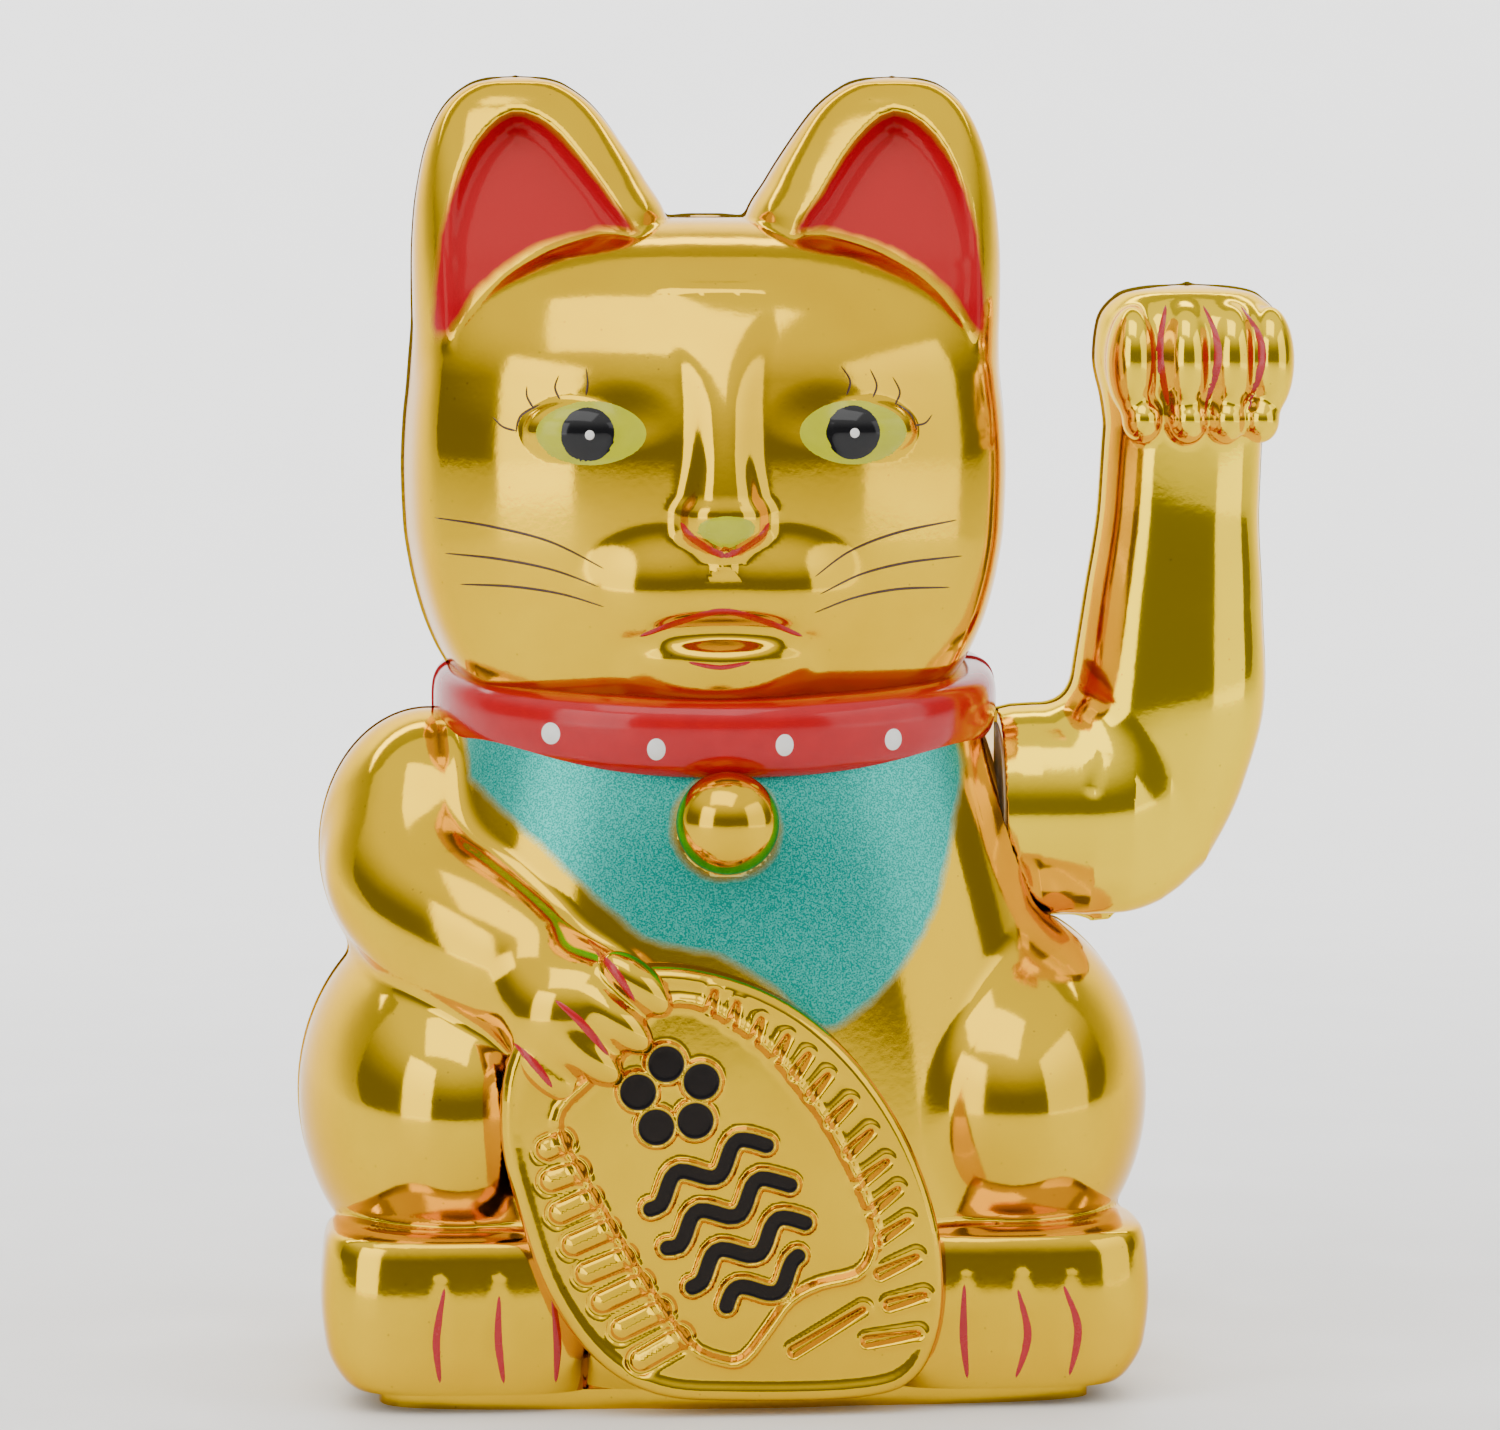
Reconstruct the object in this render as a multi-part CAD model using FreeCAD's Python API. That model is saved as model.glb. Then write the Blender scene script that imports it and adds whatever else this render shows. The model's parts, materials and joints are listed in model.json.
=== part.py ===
import FreeCAD, Part
import math
import os

os.makedirs("parts", exist_ok=True)

V = FreeCAD.Vector

# A beckoning cat with a swinging arm, in millimetres. +Z is up and the cat faces -Y.
# The origin is at the middle of the underside of the base. The raised arm is on the +X side.

# ---- driving dimensions ----
HEIGHT = 200.0        # rest face to ear tips
WALL = 2.2            # moulded wall of the two shells
SHELL_FOOT = 3.0      # height of the shells' lower edge above the rest face
HEAD_X = -1.2         # the head sits a little off the body's middle plane
BODY_X = 1.3          # so do the haunches and the feet, the other way

AXLE_Z = 86.0         # height of the arm's axle
AXLE_R = 1.5
BUSH_GAP = 0.05       # radial clearance of the axle in its bushes
ROOT_R = 16.3         # the arm's round root
ROOT_X = 43.9         # plane of the root's inner face
POCKET_GAP = 0.7      # clearance of the root in the shoulder pocket
ARM_WALL = 1.8

LEVER_X = 8.0         # the pendulum hangs in this plane
LEVER_LEN = 58.0
MAGNET_R = 6.0
MAGNET_H = 5.0
WEIGHT_R = 9.0
WEIGHT_H = 9.0
WEIGHT_Y = 1.9        # the weight is set back to balance the forward-bent paw

COIL_R = 13.0
COIL_H = 11.0
CELL_R = 7.25         # AA cell
CELL_L = 49.5
CELL_Y = 29.0
CELL_Z = 10.6

FLOOR = 3.0           # base plate thickness, the strip seen under the shells
BASE_INSET = 3.0      # the strip stands this far inside the feet
DOOR_T = 1.5
DOOR_W = 19.0
SWITCH_X = -36.0
SWITCH_Y = 12.0
SWITCH_TRAVEL = 3.0


# ---- shape helpers ----
def box(x0, x1, y0, y1, z0, z1):
    return Part.makeBox(x1 - x0, y1 - y0, z1 - z0, V(x0, y0, z0))


def rod(r, start, end):
    a, b = V(*start), V(*end)
    return Part.makeCylinder(r, (b - a).Length, a, b - a)


def tube(r, bore, start, end):
    return rod(r, start, end).cut(rod(bore, start, end))


def fuse(shapes):
    """The shapes joined one after another."""
    joined = shapes[0]
    for shape in shapes[1:]:
        joined = joined.fuse(shape)
    return joined


def ball(cx, cy, cz, rx, ry, rz, turn=0.0, dip=0.0):
    """An ellipsoid, its X axis dipped by dip about Y and then turned about Z, in degrees."""
    m = FreeCAD.Matrix()
    m.scale(rx, ry, rz)
    m.rotateY(math.radians(dip))
    m.rotateZ(math.radians(turn))
    m.move(V(cx, cy, cz))
    return Part.makeSphere(1.0).transformGeometry(m)


def ring(z, cx, half, front, back, power, count=20):
    """A closed level outline: half wide about cx, from y = front to y = back, squarer with power."""
    mid = (front + back) / 2
    deep = (back - front) / 2
    points = []
    for i in range(count):
        a = 2 * math.pi * i / count
        c, s = math.cos(a), math.sin(a)
        x = cx + half * math.copysign(abs(c) ** (2 / power), c)
        y = mid + deep * math.copysign(abs(s) ** (2 / power), s)
        points.append(V(x, y, z))
    curve = Part.BSplineCurve()
    curve.interpolate(points, PeriodicFlag=True)
    return Part.Wire([curve.toShape()])


def stack(rows, power=2.3, inset=0.0):
    """A rounded form through level outlines (z, cx, half, front, back), drawn in by inset.

    A form that stands on the foot of the shells is left open there when it is drawn in.
    """
    low, high = rows[0][0], rows[-1][0]
    wires = []
    for z, cx, half, front, back in rows:
        level = min(max(z, low + inset), high - inset)
        if inset and z == SHELL_FOOT:
            level = SHELL_FOOT - 1.0
        shrink = min(inset, 0.45 * half)
        wires.append(ring(level, cx, half - shrink, front + shrink, back - shrink, power))
    return Part.makeLoft(wires, True, False)


def outline(points, y0, y1):
    """A slab with a smooth outline in X and Z, from y0 to y1."""
    curve = Part.BSplineCurve()
    curve.interpolate([V(x, y0, z) for x, z in points], PeriodicFlag=True)
    return Part.Face(Part.Wire([curve.toShape()])).extrude(V(0, y1 - y0, 0))


def shrink_points(points, amount):
    """The outline's points moved towards its middle by amount."""
    cx = sum(x for x, z in points) / len(points)
    cz = sum(z for x, z in points) / len(points)
    moved = []
    for x, z in points:
        d = math.hypot(x - cx, z - cz)
        moved.append((x - (x - cx) * amount / d, z - (z - cz) * amount / d))
    return moved


def groove(points, r):
    """A round-bottomed line through points, to be cut or added."""
    pieces = [Part.makeSphere(r, V(*p)) for p in points]
    pieces += [rod(r, a, b) for a, b in zip(points, points[1:])]
    return fuse(pieces)


def save(shape, name):
    shape.exportStep("parts/" + name + ".step")


# ---- the cat's outer form ----
TORSO = [
    (SHELL_FOOT, BODY_X, 50.0, -43.0, 45.0),
    (10.0, BODY_X, 54.0, -45.0, 49.0),
    (30.0, BODY_X, 56.0, -45.5, 51.0),
    (50.0, 1.0, 54.5, -45.0, 50.5),
    (70.0, 0.5, 50.0, -44.0, 47.0),
    (85.0, 0.0, 46.0, -42.0, 42.0),
    (97.0, 0.0, 42.5, -38.5, 37.5),
    (108.0, 0.0, 39.0, -35.0, 33.0),
]
HEAD = [
    (100.0, HEAD_X, 33.0, -30.0, 28.0),
    (108.0, HEAD_X, 39.0, -36.5, 33.0),
    (118.0, HEAD_X, 44.3, -40.0, 37.0),
    (130.0, HEAD_X, 46.4, -41.5, 39.5),
    (142.0, HEAD_X, 46.6, -41.5, 40.0),
    (154.0, HEAD_X, 45.6, -39.5, 38.0),
    (165.0, HEAD_X, 41.5, -34.0, 32.0),
    (172.0, HEAD_X, 34.5, -26.0, 24.5),
    (176.5, HEAD_X, 23.0, -15.5, 15.0),
    (178.5, HEAD_X, 9.0, -5.5, 6.0),
]
# one ear, as distances from the head's middle plane
EAR = [
    (150.0, 26.0, 18.0, -26.0, 24.0),
    (163.0, 25.8, 19.0, -27.5, 20.0),
    (171.0, 25.5, 19.6, -24.5, 16.5),
    (178.0, 25.4, 19.4, -20.0, 13.5),
    (184.0, 26.8, 17.2, -16.0, 10.5),
    (190.0, 28.0, 14.2, -11.8, 8.0),
    (195.0, 28.8, 10.8, -8.2, 6.0),
    (198.5, 29.0, 6.4, -5.4, 4.6),
    (HEIGHT, 29.0, 2.2, -2.4, 2.6),
]
EAR_SCOOP = 3.2       # depth of the scooped inner face of an ear
FOOT = [
    (SHELL_FOOT, 40.0, 17.0, -45.0, -14.0),
    (6.0, 40.5, 19.5, -47.5, -11.0),
    (11.0, 41.0, 20.8, -48.5, -9.0),
    (20.0, 41.3, 21.2, -48.5, -9.0),
    (25.0, 41.3, 21.0, -47.8, -9.5),
    (27.0, 41.0, 19.6, -46.2, -11.0),
]
SHOULDER = (-44.0, -3.0, 81.0, 17.0, 23.0, 21.5)
FOREARM = (-38.0, -28.0, 69.5, 26.0, 12.8, 13.2, -44.0, 22.0)
PAW = (-22.5, -45.0, 59.0, 11.2, 10.4, 10.8)
BELL = (-0.8, -44.5, 88.3, 7.7)
COLLAR_WIDE = 43.6    # half width and half depth of the band
COLLAR_DEEP = 41.6
COLLAR_R = 6.2
COLLAR_Y = -1.5
COLLAR_Z = 103.6
COLLAR_TILT = 5.0
COLLAR_DOTS = (-26.6, -11.0, 8.2, 25.0)
COIN = [
    (-14.0, 67.0), (-3.0, 66.0), (8.0, 61.5), (17.0, 54.0), (24.0, 44.5), (28.7, 34.0),
    (31.0, 23.5), (30.6, 13.0), (26.0, 4.6), (14.0, SHELL_FOOT), (0.0, SHELL_FOOT), (-14.0, 4.2),
    (-22.0, 10.5), (-28.0, 20.0), (-32.0, 31.0), (-34.6, 43.0), (-33.0, 55.0), (-25.5, 63.5),
]
COIN_FACE = -50.0     # the coin's front plane, just under its raised edge
COIN_BACK = -36.0


def feet(inset=0.0):
    made = []
    for side in (-1, 1):
        rows = [(z, BODY_X + side * cx, half, f, b) for z, cx, half, f, b in FOOT]
        made.append(stack(rows, 3.6, inset))
    return made


def ears(inset=0.0, front_extra=0.0):
    made = []
    for side in (-1, 1):
        rows = [(z, HEAD_X + side * cx, half, f + front_extra, b) for z, cx, half, f, b in EAR]
        made.append(stack(rows, 2.2, inset))
    return made


def haunches(inset=0.0):
    return [
        ball(BODY_X + side * 41.8, -4.0, 43.0, 23.9 - inset, 41.0 - inset, 29.0 - inset)
        for side in (-1, 1)
    ]


def big_forms(inset=0.0):
    forms = [stack(TORSO, 2.5, inset), stack(HEAD, 2.3, inset)]
    forms += haunches(inset)
    forms += feet(inset)
    for x, y, z, rx, ry, rz, *turns in (SHOULDER, FOREARM, PAW):
        forms.append(ball(x, y, z, rx - inset, ry - inset, rz - inset, *turns))
    return forms


def collar():
    """The band round the neck, lower in front."""
    middle = V(0.3, COLLAR_Y, COLLAR_Z)
    path = Part.Ellipse(middle, COLLAR_WIDE - COLLAR_R, COLLAR_DEEP - COLLAR_R).toShape()
    path.rotate(middle, V(1, 0, 0), COLLAR_TILT)
    start = path.valueAt(path.FirstParameter)
    end = Part.Circle(start, path.tangentAt(path.FirstParameter), COLLAR_R).toShape()
    return Part.Wire([path]).makePipeShell([Part.Wire([end])], True, False)


def face_relief():
    """Muzzle, nose bridge, nose tip, eyes and brows, standing out of the head."""
    made = [
        ball(HEAD_X, -38.0, 131.0, 6.6, 8.2, 5.4),
        ball(HEAD_X, -36.0, 143.0, 5.8, 7.5, 17.0),
        ball(HEAD_X, -34.5, 112.5, 12.0, 6.5, 6.5),
    ]
    for side in (-1, 1):
        made.append(ball(HEAD_X + side * 8.6, -36.5, 123.5, 11.0, 8.0, 7.0))
        made.append(ball(HEAD_X + side * 19.6, -33.4, 146.0, 9.0, 5.6, 5.6))
        lens = Part.makeCylinder(4.3, 8.0, V(HEAD_X + side * 19.6, -39.9, 146.0), V(0, 1, 0))
        made.append(lens)
    return made


def base_outline(inset, z0, z1):
    """The flat outline of the base: level with the foot of the body, drawn in from the feet."""
    _, cx, half, front, back = TORSO[0]
    body = Part.makeLoft([ring(z, cx, half, front, back, 2.5) for z in (z0, z1)], True, True)
    _, foot_x, foot_half, foot_front, foot_back = FOOT[0]
    wide = foot_x + foot_half - inset
    feet_strip = [ring(z, cx, wide, foot_front + inset, foot_back - inset, 4.0) for z in (z0, z1)]
    return body.fuse(Part.makeLoft(feet_strip, True, True))


def outer_form():
    x, y, z, r = BELL
    forms = big_forms()
    forms += ears()
    forms.append(collar())
    forms += face_relief()
    forms.append(outline(COIN, COIN_FACE, COIN_BACK))
    forms.append(Part.makeSphere(r, V(x, y, z)))
    for x in COLLAR_DOTS:
        y = COLLAR_Y - (COLLAR_DEEP - 0.8) * math.sqrt(1 - (x / COLLAR_WIDE) ** 2)
        z = COLLAR_Z + math.tan(math.radians(COLLAR_TILT)) * (y - COLLAR_Y)
        forms.append(ball(x, y, z, 1.4, 1.6, 1.7))
    forms.append(ball(15.0, 46.5, 19.0, 14.0, 7.0, 6.6, 0.0, -25.0))
    forms.append(ball(23.0, 46.0, 31.5, 6.2, 7.0, 14.0, 0.0, 8.0))
    return fuse(forms)


def cavity(inset):
    """The hollow inside the shells. It is open underneath."""
    x, y, z, r = BELL
    forms = big_forms(inset)
    forms += ears(inset, EAR_SCOOP + 0.4)
    forms.append(outline(shrink_points(COIN, inset), COIN_FACE + inset, -30.0))
    forms.append(Part.makeSphere(r - inset, V(x, y, z)))
    return fuse(forms)


def ear_recesses():
    """Scooped inner faces of the ears, which stop at the forehead."""
    head = stack(HEAD, 2.3)
    rim = [
        (29.0, 194.5), (20.0, 185.5), (11.8, 175.0), (20.0, 164.0), (31.0, 158.0), (40.0, 158.0),
        (42.0, 172.0), (37.6, 186.5),
    ]
    made = []
    for side, floor in zip((-1, 1), ears(0.0, EAR_SCOOP)):
        slab = outline([(HEAD_X + side * x, z) for x, z in rim], -45.0, 0.0)
        made.append(slab.cut(floor).cut(head))
    return made


def toe_grooves():
    made = []
    for side in (-1, 1):
        for x in (30.5, 39.0, 47.5):
            start = (BODY_X + side * x, -48.9, 4.5)
            end = (BODY_X + side * x, -48.9, 20.0)
            made.append(groove([start, end], 0.9))
    return made


def coin_marks():
    """The coin's sunk panel and the notches down its two edges."""
    panel = [
        (-10.5, 62.2), (3.0, 57.0), (12.5, 47.6), (18.0, 38.0), (19.7, 28.0), (18.0, 21.0), (11.8, 18.6),
        (6.5, 12.5), (0.6, 8.6), (-6.0, 14.0), (-20.2, 33.0), (-26.7, 47.1), (-20.0, 55.5),
    ]
    marks = [outline(panel, COIN_FACE - 2.0, COIN_FACE + 0.8)]
    for i in range(9):
        t = i / 8.0
        x0, z0 = 21.0 + 5.0 * t, 46.0 - 32.0 * t
        marks.append(groove([(x0, COIN_FACE, z0), (x0 + 4.0, COIN_FACE, z0 + 1.6)], 0.5))
    return marks


def coin_ornament():
    """A five-petalled blossom over two rolling waves, standing in the panel."""
    floor = COIN_FACE + 1.0
    made = []
    for i in range(5):
        a = math.radians(90 + 72 * i)
        x, z = -7.0 + 4.6 * math.cos(a), 48.0 + 4.6 * math.sin(a)
        made.append(Part.makeCylinder(3.0, 2.0, V(x, floor - 2.0, z), V(0, 1, 0)))
    for cx, cz, r in ((-4.0, 31.0, 6.0), (6.0, 25.0, 5.0)):
        wave = Part.makeCylinder(r, 2.0, V(cx, floor - 2.0, cz), V(0, 1, 0))
        made.append(wave.cut(Part.makeCylinder(r - 2.4, 4.0, V(cx, floor - 3.0, cz - 1.0), V(0, 1, 0))))
    return made


# ---- the raised arm ----
ARM = [
    (70.5, 62.0, 5.0, -5.0, 5.0),
    (74.0, 63.0, 10.0, -9.0, 9.0),
    (80.0, 65.5, 12.6, -11.5, 11.5),
    (90.0, 68.6, 14.4, -13.2, 13.2),
    (102.0, 71.0, 15.2, -13.8, 13.8),
    (118.0, 72.0, 13.9, -12.6, 12.8),
    (134.0, 72.9, 12.5, -11.6, 12.0),
    (145.0, 73.6, 12.4, -13.0, 12.0),
    (150.0, 74.2, 13.8, -16.0, 12.4),
    (156.5, 74.5, 15.1, -17.2, 12.6),
    (162.0, 74.2, 13.9, -15.4, 11.6),
    (166.0, 74.0, 10.6, -10.4, 8.6),
    (168.0, 74.0, 5.2, -4.4, 5.0),
]
ROOT = [(0.0, 15.6), (4.0, ROOT_R), (15.0, ROOT_R), (22.0, 13.6), (28.0, 7.5)]


def arm_form(inset=0.0):
    """Forearm and paw over a round root that turns about the axle."""
    points = [V(ROOT_X, 0, AXLE_Z)]
    points += [V(ROOT_X + x, 0, AXLE_Z + r - inset) for x, r in ROOT]
    points.append(V(ROOT_X + ROOT[-1][0], 0, AXLE_Z))
    face = Part.Face(Part.makePolygon(points + points[:1]))
    root = face.revolve(V(0, 0, AXLE_Z), V(1, 0, 0), 360)
    return root.fuse(stack(ARM, 2.25, inset))


def claw_grooves():
    lines = []
    for x, bow in ((67.8, 0.0), (74.2, 0.6), (81.0, 1.4)):
        deep = -17.4 + (x - 74.2) ** 2 * 0.035
        route = [(x, deep + 1.4, 163.5), (x + bow, deep - 0.2, 156.0), (x, deep + 0.9, 149.0)]
        lines.append(groove(route, 0.7))
    return lines


def forearm_grooves():
    lines = []
    for x, y, z in ((-21.5, -52.0, 67.0), (-26.0, -50.5, 61.0), (-30.5, -47.5, 55.0)):
        lines.append(groove([(x, y + 1.6, z + 1.0), (x + 5.5, y - 0.6, z - 5.0)], 0.7))
    return lines


# ---- shells ----
BIG = 160.0
FRONT_SPACE = box(-BIG, BIG, -BIG, 0.0, SHELL_FOOT, 2 * BIG)
REAR_SPACE = box(-BIG, BIG, 0.0, BIG, SHELL_FOOT, 2 * BIG)

solid_cat = outer_form()
inside = cavity(WALL)

pocket = rod(ROOT_R + POCKET_GAP, (ROOT_X - POCKET_GAP, 0, AXLE_Z), (ROOT_X + 40.0, 0, AXLE_Z))
pocket_wall = rod(ROOT_R + POCKET_GAP + WALL, (ROOT_X - POCKET_GAP - WALL, 0, AXLE_Z), (90.0, 0, AXLE_Z))
axle_hole = rod(AXLE_R + 1.2, (30.0, 0, AXLE_Z), (60.0, 0, AXLE_Z))
inside = inside.cut(pocket_wall)

# bosses for the base screws and for the bracket, moulded with the shells
BASE_BOSSES = [(-38.0, -24.0), (40.5, -24.0), (-38.0, 26.0), (40.5, 26.0)]
FRONT_WEB = 22.0      # the front bosses' webs reach the side walls of the feet
REAR_WEB = 10.0
BOSS_R = 3.6
BOSS_TOP = 24.0
PILOT_R = 1.1
BRACKET_BOSSES = [(-19.0, AXLE_Z), (31.0, AXLE_Z)]
BRACKET_Y = -22.0     # rear face of the shell's bracket bosses


def base_boss(x, y):
    far = x + math.copysign(FRONT_WEB if y < 0 else REAR_WEB, x)
    post = rod(BOSS_R, (x, y, FLOOR + 2.0), (x, y, BOSS_TOP))
    web = box(min(x, far), max(x, far), y - 1.0, y + 1.0, FLOOR + 8.0, BOSS_TOP - 2.0)
    return post.fuse(web)


def pilot(x, y):
    return rod(PILOT_R, (x, y, 0.0), (x, y, BOSS_TOP - 5.0))


def bracket_boss(x, z):
    return rod(3.4, (x, -60.0, z), (x, BRACKET_Y, z)).common(solid_cat)


shell = solid_cat.cut(inside)
front = shell.common(FRONT_SPACE)
rear = shell.common(REAR_SPACE)
front = fuse([front] + [base_boss(x, y) for x, y in BASE_BOSSES[:2]])
front = fuse([front] + [bracket_boss(x, z) for x, z in BRACKET_BOSSES])
for mark in [pocket, axle_hole] + ear_recesses() + toe_grooves() + forearm_grooves() + coin_marks():
    front = front.cut(mark)
front = fuse([front] + [shape.common(solid_cat) for shape in coin_ornament()])
for x, y in BASE_BOSSES[:2]:
    front = front.cut(pilot(x, y))
for x, z in BRACKET_BOSSES:
    front = front.cut(rod(PILOT_R, (x, -32.0, z), (x, 0, z)))
rear = fuse([rear] + [base_boss(x, y) for x, y in BASE_BOSSES[2:]])
for mark in [pocket, axle_hole] + [pilot(x, y) for x, y in BASE_BOSSES[2:]]:
    rear = rear.cut(mark)
save(front, "front_shell")
save(rear, "rear_shell")

# ---- raised arm: two halves round a hub ----
HUB_R = 4.6
FLANGE_R = ROOT_R - ARM_WALL - 0.9
HUB_END = ROOT_X + 17.0
AXLE_END = ROOT_X + 15.0
arm_solid = arm_form()
arm_hollow = arm_form(ARM_WALL)
arm_hollow = arm_hollow.fuse(rod(FLANGE_R + 0.1, (ROOT_X - 1.0, 0, AXLE_Z), (ROOT_X + 4.0, 0, AXLE_Z)))
arm_shell = arm_solid.cut(arm_hollow)
arm_front = arm_shell.common(FRONT_SPACE)
for mark in claw_grooves():
    arm_front = arm_front.cut(mark)
save(arm_front, "arm_front_half")
save(arm_shell.common(REAR_SPACE), "arm_rear_half")

hub = rod(FLANGE_R, (ROOT_X + 0.2, 0, AXLE_Z), (ROOT_X + 2.2, 0, AXLE_Z))
hub = hub.fuse(rod(HUB_R, (ROOT_X + 2.0, 0, AXLE_Z), (HUB_END, 0, AXLE_Z)))
for turn in range(3):
    rib = box(ROOT_X + 2.0, HUB_END - 4.0, -0.8, 0.8, 0.0, FLANGE_R)
    rib.translate(V(0, 0, AXLE_Z))
    rib.rotate(V(0, 0, AXLE_Z), V(1, 0, 0), 60 + 120 * turn)
    hub = hub.fuse(rib.common(arm_hollow))
hub = hub.cut(rod(AXLE_R, (ROOT_X - 1.0, 0, AXLE_Z), (AXLE_END, 0, AXLE_Z)))
save(hub, "arm_hub")

# ---- axle, bushes, bracket ----
CHEEKS = [(-12.0, -9.0), (24.0, 27.0)]
AXLE_START = -15.0
BUSH_R = 3.0
axle = rod(AXLE_R, (AXLE_START, 0, AXLE_Z), (AXLE_END, 0, AXLE_Z))
save(axle, "axle")

bushes = []
for x0, x1 in CHEEKS:
    bush = tube(BUSH_R, AXLE_R + BUSH_GAP, (x0 - 0.6, 0, AXLE_Z), (x1 + 0.6, 0, AXLE_Z))
    rim = tube(BUSH_R + 1.0, AXLE_R + BUSH_GAP, (x0 - 0.6, 0, AXLE_Z), (x0, 0, AXLE_Z))
    bushes.append(bush.fuse(rim))
save(Part.makeCompound(bushes), "axle_bushes")

BAR_Y0, BAR_Y1 = BRACKET_Y, BRACKET_Y + 3.0
bar = box(BRACKET_BOSSES[0][0] - 4.0, BRACKET_BOSSES[1][0] + 4.0, BAR_Y0, BAR_Y1, AXLE_Z - 7.0, AXLE_Z + 7.0)
bracket = bar
for x0, x1 in CHEEKS:
    cheek = box(x0, x1, BAR_Y0, 0.0, AXLE_Z - 7.0, AXLE_Z + 7.0)
    cheek = cheek.fuse(rod(7.0, (x0, 0, AXLE_Z), (x1, 0, AXLE_Z)))
    bracket = bracket.fuse(cheek)
for x0, x1 in CHEEKS:
    bracket = bracket.cut(rod(BUSH_R, (x0 - 1.0, 0, AXLE_Z), (x1 + 1.0, 0, AXLE_Z)))
for x, z in BRACKET_BOSSES:
    bracket = bracket.cut(rod(1.5, (x, BAR_Y0 - 1.0, z), (x, BAR_Y1 + 1.0, z)))
save(bracket, "axle_bracket")


def screw(start, direction, length, head_r, shank_r):
    """A pan-head screw: start is under the head, direction points along the shank."""
    a, d = V(*start), V(*direction)
    head = Part.makeCylinder(head_r, 1.4, a - d * 1.4, d)
    head = head.makeFillet(0.5, [head.Edges[2]])
    slot = Part.makeCylinder(0.75, 0.9, a - d * 1.4, d)
    return head.fuse(Part.makeCylinder(shank_r, length, a, d)).cut(slot)


save(Part.makeCompound([screw((x, BAR_Y1, z), (0, -1, 0), 9.0, 2.5, 1.05) for x, z in BRACKET_BOSSES]),
     "bracket_screws")

clips = []
for x in (CHEEKS[0][0] - 1.8, CHEEKS[1][1] + 0.9):
    clips.append(tube(3.4, AXLE_R, (x, 0, AXLE_Z), (x + 0.8, 0, AXLE_Z)))
save(Part.makeCompound(clips), "axle_clips")

# ---- pendulum ----
LEVER_FOOT = AXLE_Z - LEVER_LEN
lever = tube(5.0, AXLE_R, (LEVER_X - 4.0, 0, AXLE_Z), (LEVER_X + 4.0, 0, AXLE_Z))
WEIGHT_Z = LEVER_FOOT + 5.0
arm_bar = box(LEVER_X - 1.5, LEVER_X + 1.5, -3.5, 3.5, WEIGHT_Z + WEIGHT_H, AXLE_Z - 3.0)
cup = rod(MAGNET_R + 1.4, (LEVER_X, 0, LEVER_FOOT - 3.0), (LEVER_X, 0, LEVER_FOOT + 3.0))
stem_top = WEIGHT_Z + WEIGHT_H + 1.0
stem = rod(2.4, (LEVER_X, 0, LEVER_FOOT), (LEVER_X, 0, stem_top))
lever = fuse([lever, arm_bar, cup, stem])
lever = lever.cut(rod(AXLE_R, (LEVER_X - 6.0, 0, AXLE_Z), (LEVER_X + 6.0, 0, AXLE_Z)))
magnet = rod(MAGNET_R, (LEVER_X, 0, LEVER_FOOT - 4.0), (LEVER_X, 0, LEVER_FOOT - 4.0 + MAGNET_H))
lever = lever.cut(magnet)
save(lever, "pendulum_lever")
save(magnet, "pendulum_magnet")
weight = rod(WEIGHT_R, (LEVER_X, WEIGHT_Y, WEIGHT_Z), (LEVER_X, WEIGHT_Y, WEIGHT_Z + WEIGHT_H))
weight = weight.cut(rod(2.4, (LEVER_X, 0, WEIGHT_Z - 1.0), (LEVER_X, 0, WEIGHT_Z + WEIGHT_H + 1.0)))
save(weight, "counterweight")

# ---- base plate with the cell bay ----
DOOR_X = 29.0         # half length of the door
DOOR_Y0, DOOR_Y1 = CELL_Y - DOOR_W / 2, CELL_Y + DOOR_W / 2
plate = base_outline(BASE_INSET, 0.0, FLOOR)
_, cx, half, fore, aft = TORSO[0]
spigot_rows = [(z, cx, half, fore, aft) for z in (FLOOR - 1.0, FLOOR + 2.0)]
spigot_outer = [ring(z, cx, half - 2.6, fore + 2.6, aft - 2.6, 2.5) for z, *_ in spigot_rows]
spigot_inner = [ring(z, cx, half - 4.2, fore + 4.2, aft - 4.2, 2.5) for z, *_ in spigot_rows]
spigot = Part.makeLoft(spigot_outer, True, True)
spigot = spigot.cut(Part.makeLoft(spigot_inner, True, True))
plate = plate.fuse(spigot)
for x, y in BASE_BOSSES:
    plate = plate.cut(rod(BOSS_R + 0.4, (x, y, FLOOR), (x, y, FLOOR + 4.0)))
bay_end = DOOR_X + 3.0
walls = box(-bay_end, bay_end, DOOR_Y0 - 1.5, DOOR_Y0, FLOOR, CELL_Z)
for side in (-1, 1):
    x0, x1 = sorted((side * (bay_end - 2.0), side * bay_end))
    walls = walls.fuse(box(x0, x1, DOOR_Y0 - 1.5, CELL_Y + 6.0, FLOOR, CELL_Z + 7.0))
plate = plate.fuse(walls)
BOARD_POSTS = [(-26.0, -20.0), (-26.0, -34.0), (24.0, -34.0)]
BOARD_Z = 7.0
for x, y in BOARD_POSTS:
    plate = plate.fuse(rod(2.6, (x, y, FLOOR), (x, y, BOARD_Z)))
seat = tube(COIL_R + 1.4, COIL_R + 0.2, (LEVER_X, 0, FLOOR), (LEVER_X, 0, FLOOR + 2.5))
plate = plate.fuse(seat)
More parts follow.
